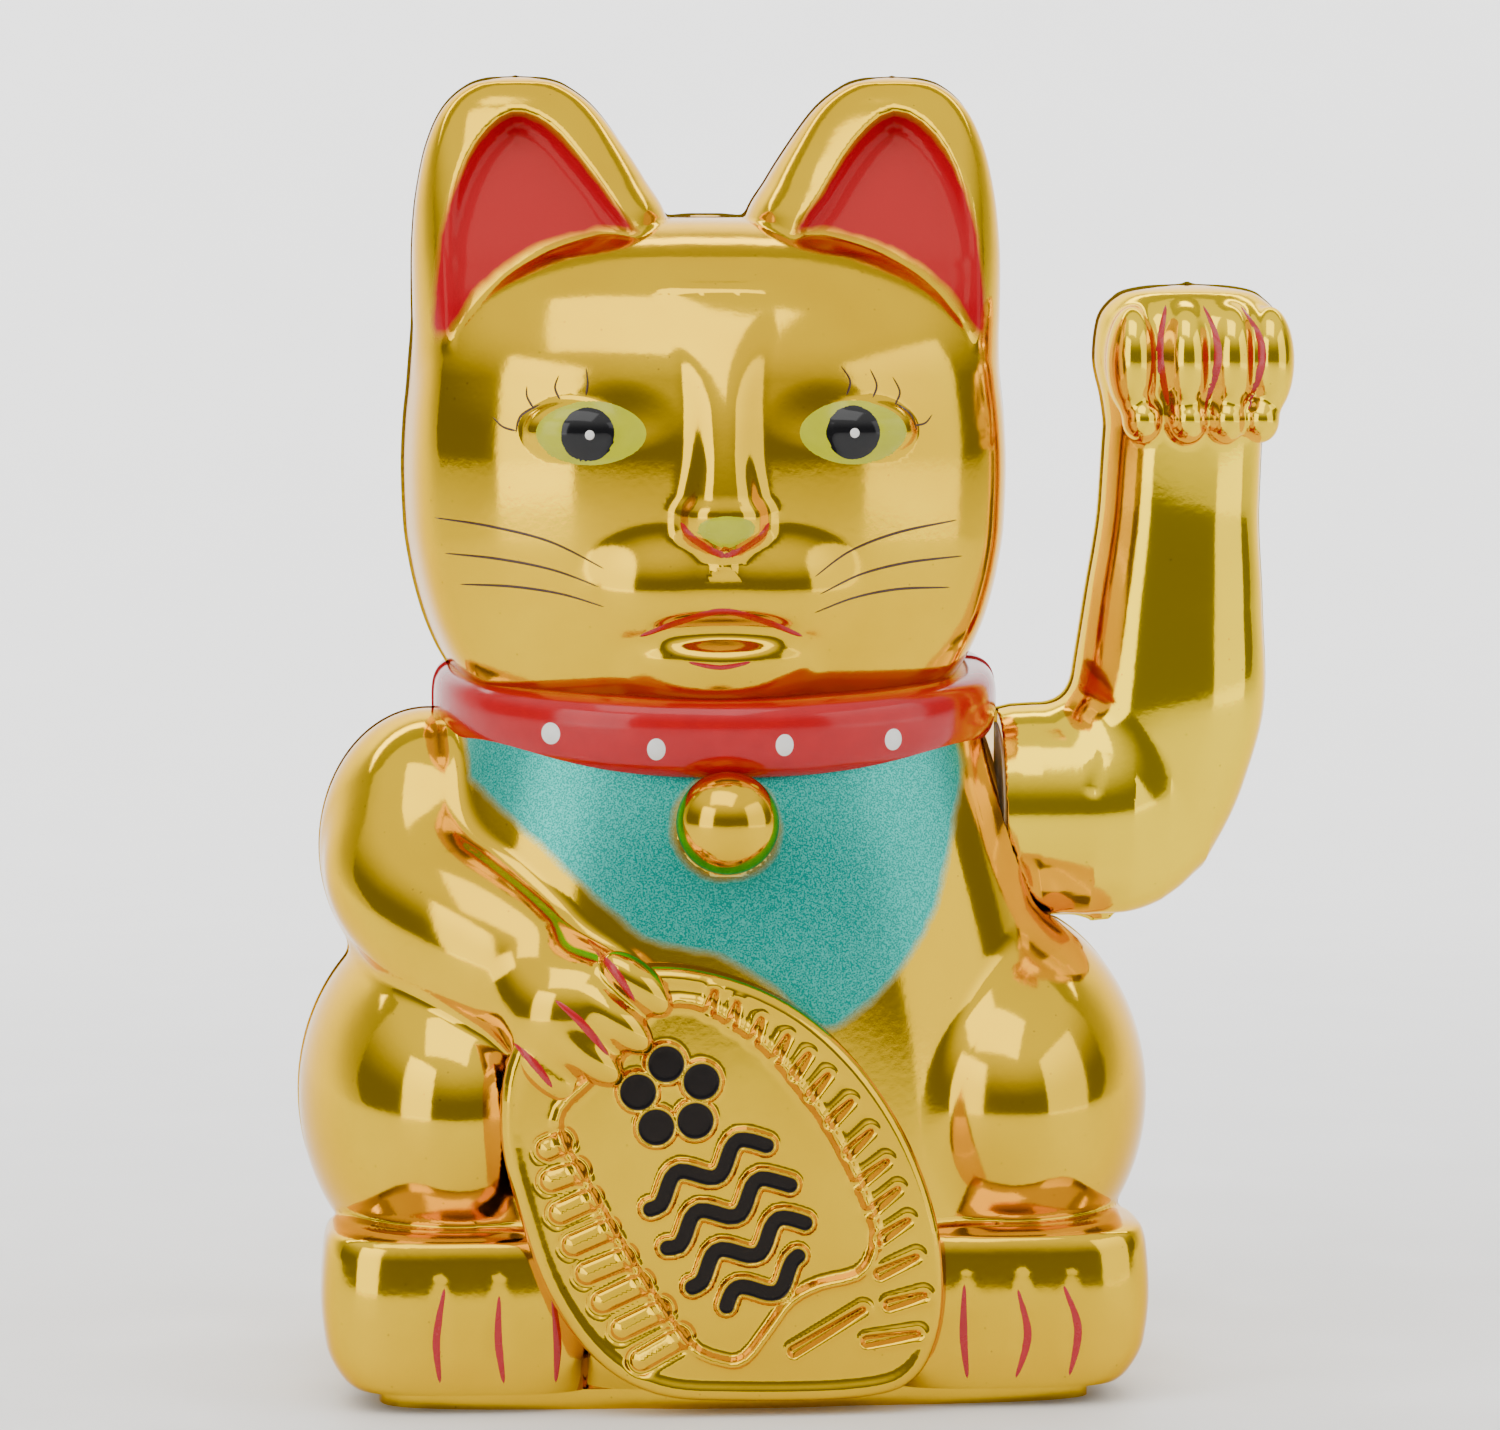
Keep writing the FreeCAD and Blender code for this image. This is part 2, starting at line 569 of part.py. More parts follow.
# opening of the bay, the recess the door slides in and the notches its tongues drop through
plate = plate.cut(box(-DOOR_X + 2.0, DOOR_X - 2.0, DOOR_Y0 + 1.6, DOOR_Y1 - 1.6, -1.0, FLOOR + 0.5))
plate = plate.cut(box(-DOOR_X - 0.2, DOOR_X + 0.2, DOOR_Y0, 60.0, -1.0, DOOR_T + 0.3))
TONGUES = [(-18.0, -10.0), (10.0, 18.0)]
for x0, x1 in TONGUES:
    plate = plate.cut(box(x0 - 0.4, x1 + 0.4, DOOR_Y0 - 4.0, DOOR_Y0 + 2.0, DOOR_T - 0.5, FLOOR - 0.6))
    plate = plate.cut(box(x0 - 0.4, x1 + 0.4, DOOR_Y1 - 2.0 - 4.0, DOOR_Y1 + 0.2, DOOR_T - 0.5, FLOOR + 0.5))
plate = plate.cut(box(SWITCH_X - 4.5, SWITCH_X + 4.5, SWITCH_Y - 2.2, SWITCH_Y + 2.2, -1.0, FLOOR + 1.0))
for x, y in BASE_BOSSES:
    plate = plate.cut(rod(1.6, (x, y, -1.0), (x, y, FLOOR + 1.0)))
    plate = plate.cut(rod(2.9, (x, y, -1.0), (x, y, 1.8)))
for x, y in BOARD_POSTS:
    plate = plate.cut(rod(0.8, (x, y, 1.5), (x, y, BOARD_Z + 1.0)))
save(plate, "base_plate")

door = box(-DOOR_X, DOOR_X, DOOR_Y0 + 0.2, DOOR_Y1 + 0.6, 0.1, DOOR_T + 0.1)
for x0, x1 in TONGUES:
    door = door.fuse(box(x0, x1, DOOR_Y0 - 2.0, DOOR_Y0 + 2.0, DOOR_T, FLOOR - 0.8))
for i in range(6):
    y = DOOR_Y1 - 1.5 - 1.6 * i
    door = door.cut(box(-8.0, 8.0, y - 0.4, y + 0.4, -0.5, 0.5))
save(door, "battery_door")

cell = rod(CELL_R, (-CELL_L / 2, CELL_Y, CELL_Z), (CELL_L / 2, CELL_Y, CELL_Z))
cell = cell.makeFillet(0.8, [e for e in cell.Edges if e.Curve.TypeId == "Part::GeomCircle"])
cell = cell.fuse(rod(2.6, (CELL_L / 2 - 0.5, CELL_Y, CELL_Z), (CELL_L / 2 + 1.2, CELL_Y, CELL_Z)))
save(cell, "battery")

positive = box(bay_end - 2.6, bay_end - 2.1, CELL_Y - 5.0, CELL_Y + 5.0, FLOOR + 1.0, CELL_Z + 6.5)
positive = positive.fuse(rod(2.8, (CELL_L / 2 + 1.3, CELL_Y, CELL_Z), (bay_end - 2.2, CELL_Y, CELL_Z)))
save(positive, "positive_contact")
spring_run = bay_end - 2.2 - CELL_L / 2
helix = Part.makeHelix(spring_run / 3.4, spring_run - 1.2, 3.2)
wire_end = Part.Wire([Part.Circle(V(3.2, 0, 0), V(0, 1, 0), 0.4).toShape()])
coil = Part.Wire(helix.Edges).makePipeShell([wire_end], True, True)
coil.rotate(V(0, 0, 0), V(0, 1, 0), 90)
coil.translate(V(-bay_end + 2.9, CELL_Y, CELL_Z))
leaf = box(-bay_end + 2.1, -bay_end + 2.6, CELL_Y - 5.0, CELL_Y + 5.0, FLOOR + 1.0, CELL_Z + 6.5)
save(leaf.fuse(coil), "negative_contact")

# ---- coil, board and its parts ----
COIL_Z0 = FLOOR + 0.1
bobbin = rod(5.0, (LEVER_X, 0, COIL_Z0), (LEVER_X, 0, COIL_Z0 + COIL_H))
for z in (COIL_Z0, COIL_Z0 + COIL_H - 1.0):
    bobbin = bobbin.fuse(rod(COIL_R, (LEVER_X, 0, z), (LEVER_X, 0, z + 1.0)))
bobbin = bobbin.cut(rod(3.6, (LEVER_X, 0, 0.0), (LEVER_X, 0, 40.0)))
save(bobbin, "coil_bobbin")
winding = tube(COIL_R - 0.8, 5.0, (LEVER_X, 0, COIL_Z0 + 1.0), (LEVER_X, 0, COIL_Z0 + COIL_H - 1.0))
save(winding, "coil_winding")

BOARD_T = 1.6
board = box(-30.0, 28.0, -38.0, -16.0, BOARD_Z, BOARD_Z + BOARD_T)
for x, y in BOARD_POSTS:
    board = board.cut(rod(1.2, (x, y, 0.0), (x, y, 20.0)))
save(board, "circuit_board")
BOARD_TOP = BOARD_Z + BOARD_T
screws = [screw((x, y, BOARD_TOP), (0, 0, -1), 5.0, 2.0, 0.75) for x, y in BOARD_POSTS]
save(Part.makeCompound(screws), "board_screws")
can = rod(3.1, (-12.0, -27.0, BOARD_TOP), (-12.0, -27.0, BOARD_TOP + 8.0))
can = can.makeFillet(0.5, [can.Edges[0]])
save(can, "capacitor")
body = rod(2.4, (0.0, -27.0, BOARD_TOP + 2.0), (0.0, -27.0, BOARD_TOP + 6.6))
body = body.cut(box(-3.0, 3.0, -30.0, -28.4, 0.0, 30.0))
for i in (-1, 0, 1):
    body = body.fuse(box(i * 1.27 - 0.25, i * 1.27 + 0.25, -27.2, -26.7, BOARD_TOP, BOARD_TOP + 2.5))
save(body, "transistor")
resistors = []
for y in (-22.0, -31.0):
    bead = rod(1.1, (10.0, y, BOARD_TOP + 1.5), (16.0, y, BOARD_TOP + 1.5))
    for x in (8.2, 17.4):
        bead = bead.fuse(box(x, x + 0.5, y - 0.25, y + 0.25, BOARD_TOP, BOARD_TOP + 1.7))
    bead = bead.fuse(rod(0.25, (8.2, y, BOARD_TOP + 1.5), (17.8, y, BOARD_TOP + 1.5)))
    resistors.append(bead)
save(Part.makeCompound(resistors), "resistors")

# ---- power switch in the base ----
can = box(SWITCH_X - 6.0, SWITCH_X + 6.0, SWITCH_Y - 3.2, SWITCH_Y + 3.2, FLOOR, FLOOR + 5.0)
can = can.cut(box(SWITCH_X - 4.6, SWITCH_X + 4.6, SWITCH_Y - 2.4, SWITCH_Y + 2.4, FLOOR - 1.0, FLOOR + 3.0))
save(can, "switch_body")
knob = box(SWITCH_X - 4.0, SWITCH_X + 4.0 - SWITCH_TRAVEL, SWITCH_Y - 2.0, SWITCH_Y + 2.0,
           FLOOR + 0.3, FLOOR + 2.6)
knob = knob.fuse(box(SWITCH_X - 3.2, SWITCH_X + 0.2, SWITCH_Y - 1.6, SWITCH_Y + 1.6, 0.6, FLOOR + 0.5))
save(knob, "switch_slider")


# ---- internal leads ----
def lead(points, r=0.6):
    path = Part.BSplineCurve()
    path.interpolate([V(*p) for p in points])
    edge = path.toShape()
    start = edge.tangentAt(edge.FirstParameter)
    ring_end = Part.Wire([Part.Circle(V(*points[0]), start, r).toShape()])
    return Part.Wire([edge]).makePipeShell([ring_end], True, True)


LEAD_TOP = CELL_Z + 7.2
red = [
    (bay_end - 2.35, CELL_Y, LEAD_TOP), (bay_end - 2.0, 22.0, 19.5), (bay_end - 0.5, 13.0, 16.5),
    (31.0, 1.0, 13.0), (27.0, -12.0, 11.0), (21.0, -24.0, BOARD_TOP + 0.7),
]
black = [
    (2.35 - bay_end, CELL_Y, LEAD_TOP), (2.0 - bay_end, 22.0, 19.5), (0.5 - bay_end, 13.0, 16.5),
    (-30.0, 2.0, 13.0), (-24.0, -10.0, 11.5), (-19.5, -22.0, BOARD_TOP + 0.7),
]
save(lead(red), "lead_red")
save(lead(black), "lead_black")

screws = [screw((x, y, 1.8), (0, 0, 1), 14.0, 2.6, 1.05) for x, y in BASE_BOSSES]
save(Part.makeCompound(screws), "base_screws")
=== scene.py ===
import bpy
import json
import math
import numpy as np
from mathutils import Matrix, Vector


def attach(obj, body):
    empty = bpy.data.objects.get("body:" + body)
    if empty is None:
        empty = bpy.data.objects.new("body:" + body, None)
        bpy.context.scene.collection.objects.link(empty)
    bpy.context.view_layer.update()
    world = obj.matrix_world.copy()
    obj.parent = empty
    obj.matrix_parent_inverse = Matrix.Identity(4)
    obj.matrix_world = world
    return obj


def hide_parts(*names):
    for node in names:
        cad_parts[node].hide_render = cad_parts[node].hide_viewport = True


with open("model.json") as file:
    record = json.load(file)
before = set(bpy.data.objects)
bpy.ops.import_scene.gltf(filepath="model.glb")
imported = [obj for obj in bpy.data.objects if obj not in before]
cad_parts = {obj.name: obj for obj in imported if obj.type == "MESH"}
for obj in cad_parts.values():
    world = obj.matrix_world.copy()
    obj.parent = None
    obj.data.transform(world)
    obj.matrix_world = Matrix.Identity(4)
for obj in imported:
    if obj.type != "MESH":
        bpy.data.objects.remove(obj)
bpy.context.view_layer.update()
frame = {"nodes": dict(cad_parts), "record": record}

MM = 0.001

# ---------------------------------------------------------------- fields
# Every form is a function of X, Y, Z in millimetres: negative inside, positive outside.
HEAD_X = -1.2          # middle of the head
BODY_X = 1.3           # middle of the seated body
AXLE_Z = 86.0          # height of the arm's axle
ARM_X = 43.9           # inner end of the arm's parting faces
FOOT_Z = 3.0           # lower edge of the shells
SEAM_STEP = 0.3        # how far the rear mouldings stand proud of the front ones
RISE_STEP = 0.3        # height step for a column's upward slope
FAR = 1e9


def smooth_table(xs, ys, step=0.25):
    """A monotone curve through the points, sampled finely for np.interp."""
    xs, ys = np.array(xs, float), np.array(ys, float)
    h, d = np.diff(xs), np.diff(ys) / np.diff(xs)
    m = np.zeros_like(ys)
    m[0], m[-1] = d[0], d[-1]
    with np.errstate(divide="ignore", invalid="ignore"):
        w1, w2 = 2 * h[1:] + h[:-1], h[1:] + 2 * h[:-1]
        inner = (w1 + w2) / (w1 / d[:-1] + w2 / d[1:])
    m[1:-1] = np.where(d[:-1] * d[1:] > 0, inner, 0.0)
    q = np.arange(xs[0], xs[-1] + step / 2, step)
    i = np.clip(np.searchsorted(xs, q, side="right") - 1, 0, len(h) - 1)
    t = np.clip((q - xs[i]) / h[i], 0, 1)
    a, b = (1 + 2 * t) * (1 - t) ** 2, t * (1 - t) ** 2 * h[i]
    c, e = t * t * (3 - 2 * t), t * t * (t - 1) * h[i]
    return q, a * ys[i] + b * m[i] + c * ys[i + 1] + e * m[i + 1]


def column(rows, power):
    """A form of level outlines (z, cx, half, front, back) blended upwards."""
    rows = np.array(rows, float)
    z = rows[:, 0]
    q, cx = smooth_table(z, rows[:, 1])
    half = np.sqrt(np.maximum(smooth_table(z, rows[:, 2] ** 2)[1], 0.01))
    mid = smooth_table(z, (rows[:, 3] + rows[:, 4]) / 2)[1]
    deep = np.sqrt(np.maximum(smooth_table(z, ((rows[:, 4] - rows[:, 3]) / 2) ** 2)[1], 0.01))
    z0, z1 = z[0], z[-1]

    def radius(x, y, level):
        a, b = np.interp(level, q, half), np.interp(level, q, deep)
        u = np.abs(x - np.interp(level, q, cx)) / a
        v = np.abs(y - np.interp(level, q, mid)) / b
        return (u ** power + v ** power + 1e-9) ** (1 / power), u, v, a, b

    def field(x, y, z):
        level = np.clip(z, z0, z1 - RISE_STEP)
        r, u, v, a, b = radius(x, y, level)
        up = (radius(x, y, level + RISE_STEP)[0] - r) / RISE_STEP
        k = r ** (1 - power)
        up = up / np.maximum(r, 1) ** 2
        slope = np.sqrt((u ** (power - 1) * k / a) ** 2 + (v ** (power - 1) * k / b) ** 2 + up ** 2)
        return np.maximum(smax((r - 1) / np.maximum(slope, 1e-4), z - z1 + 0.2, 1.6), z0 - z)

    return field


def turned(x, y, z, centre, turn, dip):
    """The point in a frame whose X axis is dipped about Y, then turned about Z, in degrees."""
    t, d = math.radians(turn), math.radians(dip)
    x, y, z = x - centre[0], y - centre[1], z - centre[2]
    x, y = x * math.cos(t) + y * math.sin(t), y * math.cos(t) - x * math.sin(t)
    return x * math.cos(d) - z * math.sin(d), y, z * math.cos(d) + x * math.sin(d)


def ball(x, y, z, cx, cy, cz, rx, ry, rz, turn=0.0, dip=0.0):
    """An ellipsoid with its middle at cx, cy, cz."""
    x, y, z = turned(x, y, z, (cx, cy, cz), turn, dip)
    k0 = np.sqrt((x / rx) ** 2 + (y / ry) ** 2 + (z / rz) ** 2) + 1e-6
    k1 = np.sqrt((x / rx ** 2) ** 2 + (y / ry ** 2) ** 2 + (z / rz ** 2) ** 2) + 1e-6
    return k0 * (k0 - 1) / k1


def chain(x, y, z, nodes):
    """Tapered rounded rods from node to node (x, y, z, r)."""
    best = None
    for (x0, y0, z0, r0), (x1, y1, z1, r1) in zip(nodes, nodes[1:]):
        dx, dy, dz = x1 - x0, y1 - y0, z1 - z0
        t = ((x - x0) * dx + (y - y0) * dy + (z - z0) * dz) / (dx * dx + dy * dy + dz * dz)
        t = np.clip(t, 0, 1)
        d = np.sqrt((x - x0 - t * dx) ** 2 + (y - y0 - t * dy) ** 2 + (z - z0 - t * dz) ** 2)
        d = d - (r0 + t * (r1 - r0))
        best = d if best is None else np.minimum(best, d)
    return best


def smin(a, b, k):
    """The nearer of two forms, blended over a width k."""
    h = np.clip(0.5 + 0.5 * (b - a) / k, 0, 1)
    return b + (a - b) * h - k * h * (1 - h)


def smax(a, b, k):
    """What two forms have in common, blended over a width k."""
    return -smin(-a, -b, k)


def outline_distance(x, z, points):
    """Signed distance in X and Z to a closed outline, negative inside."""
    pts = np.array(points, float)
    nxt = np.roll(pts, -1, axis=0)
    best = np.full(x.shape, FAR)
    inside = np.zeros(x.shape, bool)
    for (x0, z0), (x1, z1) in zip(pts, nxt):
        dx, dz = x1 - x0, z1 - z0
        t = np.clip(((x - x0) * dx + (z - z0) * dz) / (dx * dx + dz * dz), 0, 1)
        best = np.minimum(best, (x - x0 - t * dx) ** 2 + (z - z0 - t * dz) ** 2)
        if dz != 0:
            cross = (z0 <= z) != (z1 <= z)
            inside ^= cross & (x < x0 + (z - z0) * dx / dz)
    return np.sqrt(best) * np.where(inside, -1, 1)


def rounded(points, closed=True, count=8):
    """Catmull-Rom points through the given ones."""
    p = np.array(points, float)
    n = len(p)
    out = []
    last = n if closed else n - 1
    for i in range(last):
        if closed:
            a, b, c, d = p[(i - 1) % n], p[i], p[(i + 1) % n], p[(i + 2) % n]
        else:
            a, b, c, d = p[max(i - 1, 0)], p[i], p[i + 1], p[min(i + 2, n - 1)]
        for k in range(count):
            t = k / count
            out.append(0.5 * (2 * b + (c - a) * t + (2 * a - 5 * b + 4 * c - d) * t * t
                              + (3 * b - a - 3 * c + d) * t ** 3))
    if not closed:
        out.append(p[-1])
    return np.array(out)


# ---------------------------------------------------------------- the forms of the cat
TORSO = column([
    (-2.0, BODY_X, 50.0, -43.0, 45.0), (3.0, BODY_X, 51.5, -43.5, 46.0), (10.0, BODY_X, 54.0, -45.0, 49.0),
    (30.0, BODY_X, 56.0, -45.5, 51.0), (50.0, 1.0, 54.5, -45.0, 50.5), (70.0, 0.5, 50.0, -44.0, 47.0),
    (85.0, 0.0, 46.0, -42.0, 42.0), (97.0, 0.0, 42.5, -38.5, 37.5), (106.0, 0.0, 39.5, -35.5, 34.0)], 2.5)
HEAD = column([
    (100.0, HEAD_X, 34.0, -31.0, 29.0), (108.0, HEAD_X, 41.0, -36.5, 34.0),
    (118.0, HEAD_X, 46.6, -40.0, 38.0),
    (130.0, HEAD_X, 49.0, -41.5, 40.5), (142.0, HEAD_X, 49.4, -41.8, 41.0),
    (154.0, HEAD_X, 48.2, -39.5, 39.0),
    (165.0, HEAD_X, 43.5, -34.0, 32.0), (172.0, HEAD_X, 35.5, -26.5, 24.5),
    (176.5, HEAD_X, 24.0, -16.0, 15.5), (178.6, HEAD_X, 0.1, -0.1, 0.1)], 2.2)
HEAD_SIDE = smooth_table(
    [95.0, 105.0, 112.6, 118.8, 125.0, 131.3, 140.0, 147.0, 153.0, 165.0, 185.0],
    [34.0, 37.5, 41.7, 44.0, 45.5, 46.4, 46.7, 46.4, 45.8, 45.2, 45.0])
EAR_ROWS = [
    (150.0, 26.0, 18.6, -26.0, 24.0), (163.0, 25.8, 19.3, -27.5, 20.0), (171.0, 25.6, 19.6, -25.0, 16.5),
    (178.0, 25.6, 19.3, -21.0, 13.5), (184.0, 26.8, 17.3, -17.0, 10.5), (190.0, 28.0, 14.6, -12.8, 8.0),
    (195.0, 28.7, 11.4, -9.0, 6.0), (198.4, 29.0, 7.0, -5.8, 4.4), (200.0, 29.0, 0.1, -0.1, 0.1)]
EARS = [column([(z, HEAD_X + s * cx, h, f, b) for z, cx, h, f, b in EAR_ROWS], 2.5) for s in (-1, 1)]
EAR_FRONT = smooth_table([r[0] for r in EAR_ROWS], [r[3] for r in EAR_ROWS])
EAR_FACES = [rounded(face, count=3) for face in (
    [(-31.2, 193.8), (-36.6, 189.4), (-40.6, 181.5), (-42.9, 171.6), (-42.6, 158.0), (-30.0, 156.0),
     (-12.0, 160.0), (-10.8, 172.2), (-16.0, 180.2), (-21.1, 186.9), (-25.8, 192.0)],
    [(27.4, 194.0), (21.4, 189.8), (15.5, 181.6), (10.4, 174.0), (9.0, 160.0), (26.0, 156.0),
     (39.2, 158.0), (39.7, 171.5), (37.6, 182.4), (33.2, 190.6)])]
FEET = [column([
    (-2.0, BODY_X + s * 38.0, 14.0, -42.0, -16.0), (1.0, BODY_X + s * 38.6, 16.5, -44.5, -14.5),
    (4.0, BODY_X + s * 40.2, 19.3, -46.6, -11.5), (9.0, BODY_X + s * 41.1, 20.9, -48.2, -9.5),
    (16.0, BODY_X + s * 41.4, 21.3, -48.6, -9.0), (23.0, BODY_X + s * 41.3, 21.0, -48.0, -9.0),
    (26.0, BODY_X + s * 41.2, 20.3, -47.0, -9.8), (27.2, BODY_X + s * 41.0, 18.5, -45.0, -12.0)], 3.4)
    for s in (-1, 1)]
NOSE = column([
    (126.6, HEAD_X, 0.6, -42.6, -34.0), (129.0, HEAD_X, 3.6, -45.2, -34.0),
    (131.6, HEAD_X, 6.3, -46.9, -34.0),
    (134.0, HEAD_X, 6.4, -47.2, -34.0), (137.0, HEAD_X, 5.2, -46.4, -34.0),
    (143.0, HEAD_X, 4.6, -45.0, -33.0),
    (149.0, HEAD_X, 4.6, -43.2, -32.0), (155.0, HEAD_X, 5.2, -40.6, -31.0),
    (161.0, HEAD_X, 6.0, -36.6, -30.0),
    (167.0, HEAD_X, 6.0, -31.0, -28.0)], 2.3)
COIN = rounded([
    (-14.0, 67.4), (-3.0, 66.4), (8.0, 61.8), (17.0, 54.2), (24.0, 44.6), (28.7, 34.0), (31.0, 23.5),
    (30.7, 13.0), (27.0, 5.4), (19.0, 2.6), (0.0, 2.4), (-12.0, 3.6), (-21.0, 9.0), (-28.0, 19.0),
    (-32.2, 31.0), (-34.8, 43.0), (-33.2, 55.0), (-25.5, 64.0)], count=5)
BELL = (-0.8, -44.8, 88.3, 7.7)


def bell(x, y, z):
    cx, cy, cz, r = BELL
    return np.sqrt((x - cx) ** 2 + (y - cy) ** 2 + (z - cz) ** 2) - r


def ear_outline(x, z, side):
    """Distance to the outline of an ear's scooped face, only worked out near it."""
    d = np.full(x.shape, 20.0)
    near = (z > 154) & (side * (x - HEAD_X) > 4)
    if near.any():
        d[near] = outline_distance(x[near], z[near], EAR_FACES[(side + 1) // 2])
    return d


def ear_scoop(x, y, z, side):
    """A shallow hollow with soft edges in the front of an ear: below 1 inside."""
    edge = np.maximum(1 + ear_outline(x, z, side) / 5.0, 0)
    v = np.maximum((y - np.interp(z, *EAR_FRONT) - 0.2) / 6.0, 0)
    return np.sqrt(edge ** 2.2 + v ** 2)


def face_line(points, r0, r1, depth):
    """Nodes for a groove or ridge along the face: points in X and Z, set on a plain curved face."""
    c = rounded(points, closed=False, count=4)
    y = -41.6 + 0.0062 * (c[:, 0] - HEAD_X) ** 2 + depth
    r = r0 + (r1 - r0) * np.sin(np.linspace(0, math.pi, len(c)))
    return list(zip(c[:, 0], y, c[:, 1], r))


EYE_OUT = 20.0
PHILTRUM = face_line([(HEAD_X + 0.2, 128.5), (HEAD_X + 0.2, 124.5), (HEAD_X, 120.5)], 0.5, 0.7, -3.0)


def head_field(x, y, z):
    """Skull with flat cheeks, eyes, muzzle, nose, mouth and ears."""
    side = np.interp(z, HEAD_SIDE[0], HEAD_SIDE[1])
    f = smax(HEAD(x, y, z), np.abs(x - HEAD_X) - side + 0.085 * np.abs(y), 3.0)
    for s in (-1, 1):
        socket = ball(x, y, z, HEAD_X + s * EYE_OUT, -47.0, 149.6, 13.0, 7.2, 6.6)
        muzzle = ball(x, y, z, HEAD_X + s * 7.4, -36.0, 122.6, 11.5, 7.6, 8.0)
        f = smin(smax(f, -socket, 3.6), muzzle, 4.0)
    f = smin(f, NOSE(x, y, z), 3.0)
    chin = ball(x, y, z, HEAD_X, -33.6, 111.0, 13.0, 7.6, 7.0)
    mouth = ball(x, y, z, HEAD_X, -44.6, 115.7, 14.0, 5.2, 4.0)
    lower_lip = ball(x, y, z, HEAD_X, -37.2, 112.2, 12.0, 4.3, 2.8)
    f = smin(smax(smin(f, chin, 4.5), -mouth, 0.9), lower_lip, 2.2)
    f = smax(f, -chain(x, y, z, PHILTRUM), 0.8)
    for s, ear in zip((-1, 1), EARS):
        f = smin(f, ball(x, y, z, HEAD_X + s * EYE_OUT, -33.8, 146.2, 9.6, 6.4, 5.8), 0.7)
        bowl = (ear_scoop(x, y, z, s) - 1) * 5.0
        f = smin(f, smax(ear(x, y, z), -bowl, 1.6), 0.9)
    return f


FINGERS = ((-14.6, -50.6, 65.0), (-17.6, -51.4, 59.6), (-22.0, -51.0, 54.8), (-27.6, -48.4, 51.6))


def forearm(x, y, z):
    """The folded arm, its wrist and the fingers laid on the coin."""
    f = ball(x, y, z, -44.0, -3.0, 81.0, 17.0, 23.0, 21.5)
    f = smin(f, ball(x, y, z, -39.0, -28.5, 70.5, 26.0, 12.6, 13.4, -44.0, 24.0), 7.0)
    f = smin(f, ball(x, y, z, -23.5, -45.0, 59.6, 11.0, 9.6, 10.6), 4.0)
    for fx, fy, fz in FINGERS:
        f = smin(f, ball(x, y, z, fx, fy, fz, 6.6, 4.0, 3.3, 0.0, 42.0), 1.3)
    return f


TOES = ((-43.9, -35.1, -26.7), (34.6, 43.1, 50.7))
POCKET_R, POCKET_X = 17.0, 43.2


def body_field(x, y, z):
    """Torso, thighs, feet with their toes, folded arm, bell and tail, with the pocket for the raised arm."""
    f = TORSO(x, y, z)
    for s, foot in zip((-1, 1), FEET):
        thigh = ball(x, y, z, BODY_X + s * 41.8, -4.0, 43.0, 23.9, 41.5, 29.0)
        f = smin(f, thigh, 3.0)
        toes = foot(x, y, z)
        for tx in TOES[(s + 1) // 2]:
            cut = [(tx, -50.4, 3.0, 1.9), (tx, -49.7, 10.0, 1.5), (tx, -49.4, 16.0, 0.7),
                   (tx, -49.2, 20.5, 0.2)]
            toes = smax(toes, -chain(x, y, z, cut), 1.6)
        f = smin(f, toes, 1.2)
    f = smin(f, forearm(x, y, z), 2.5)
    f = smin(f, bell(x, y, z), 0.6)
    tail = smin(ball(x, y, z, 15.0, 46.5, 19.0, 14.0, 7.0, 6.6, 0.0, -25.0),
                ball(x, y, z, 23.0, 46.0, 31.5, 6.2, 7.0, 14.0, 0.0, 8.0), 3.0)
    f = smin(f, tail, 2.0)
    radial = np.sqrt(y ** 2 + (z - AXLE_Z) ** 2)
    pocket = np.maximum(radial - POCKET_R, POCKET_X - x)
    return smax(f, -pocket, 0.4)


def collar_field(x, y, z):
    """A rounded band round the neck, dipped 5 degrees towards the chest."""
    t = math.radians(5.0)
    px, py, pz = x - 0.3, y + 1.5, z - 103.6
    py, pz = py * math.cos(t) + pz * math.sin(t), pz * math.cos(t) - py * math.sin(t)
    scale = 41.6 / 43.6
    r = np.sqrt(px ** 2 + (py / scale) ** 2) - 37.6
    u, v = np.abs(r) / 6.0, np.abs(pz - 0.25 * r / 6.0) / 6.0
    return ((u ** 3 + v ** 3) ** (1 / 3) - 1) * 6.0


ARM = column([
    (69.8, 61.0, 0.1, -0.1, 0.1), (71.0, 62.4, 5.6, -5.6, 5.6), (74.0, 63.6, 9.8, -9.0, 9.0),
    (80.0, 65.8, 12.6, -11.5, 11.5), (90.0, 68.6, 14.5, -13.2, 13.2), (102.0, 71.0, 15.2, -13.8, 13.8),
    (118.0, 72.0, 13.9, -12.6, 12.8), (134.0, 72.9, 12.4, -11.6, 12.0), (145.0, 73.5, 12.3, -12.0, 12.0),
    (150.0, 74.1, 13.4, -13.6, 12.2), (156.5, 74.5, 15.1, -15.4, 12.6), (162.0, 74.2, 14.2, -14.2, 12.0),
    (166.0, 74.0, 10.8, -10.0, 9.4), (168.0, 74.0, 0.1, -0.1, 0.1)], 2.2)
ARM_ROOT = ([ARM_X, 46.5, 50.0, 58.0, 64.0, 70.0, 74.0], [15.6, 16.2, 16.4, 16.4, 15.2, 11.5, 6.0])
SHOULDER_GAP = 0.4
ELBOW_CREASE = [(57.6, -15.5, 101.5, 1.0), (59.0, -16.0, 96.0, 1.6), (57.8, -16.6, 91.0, 0.8)]


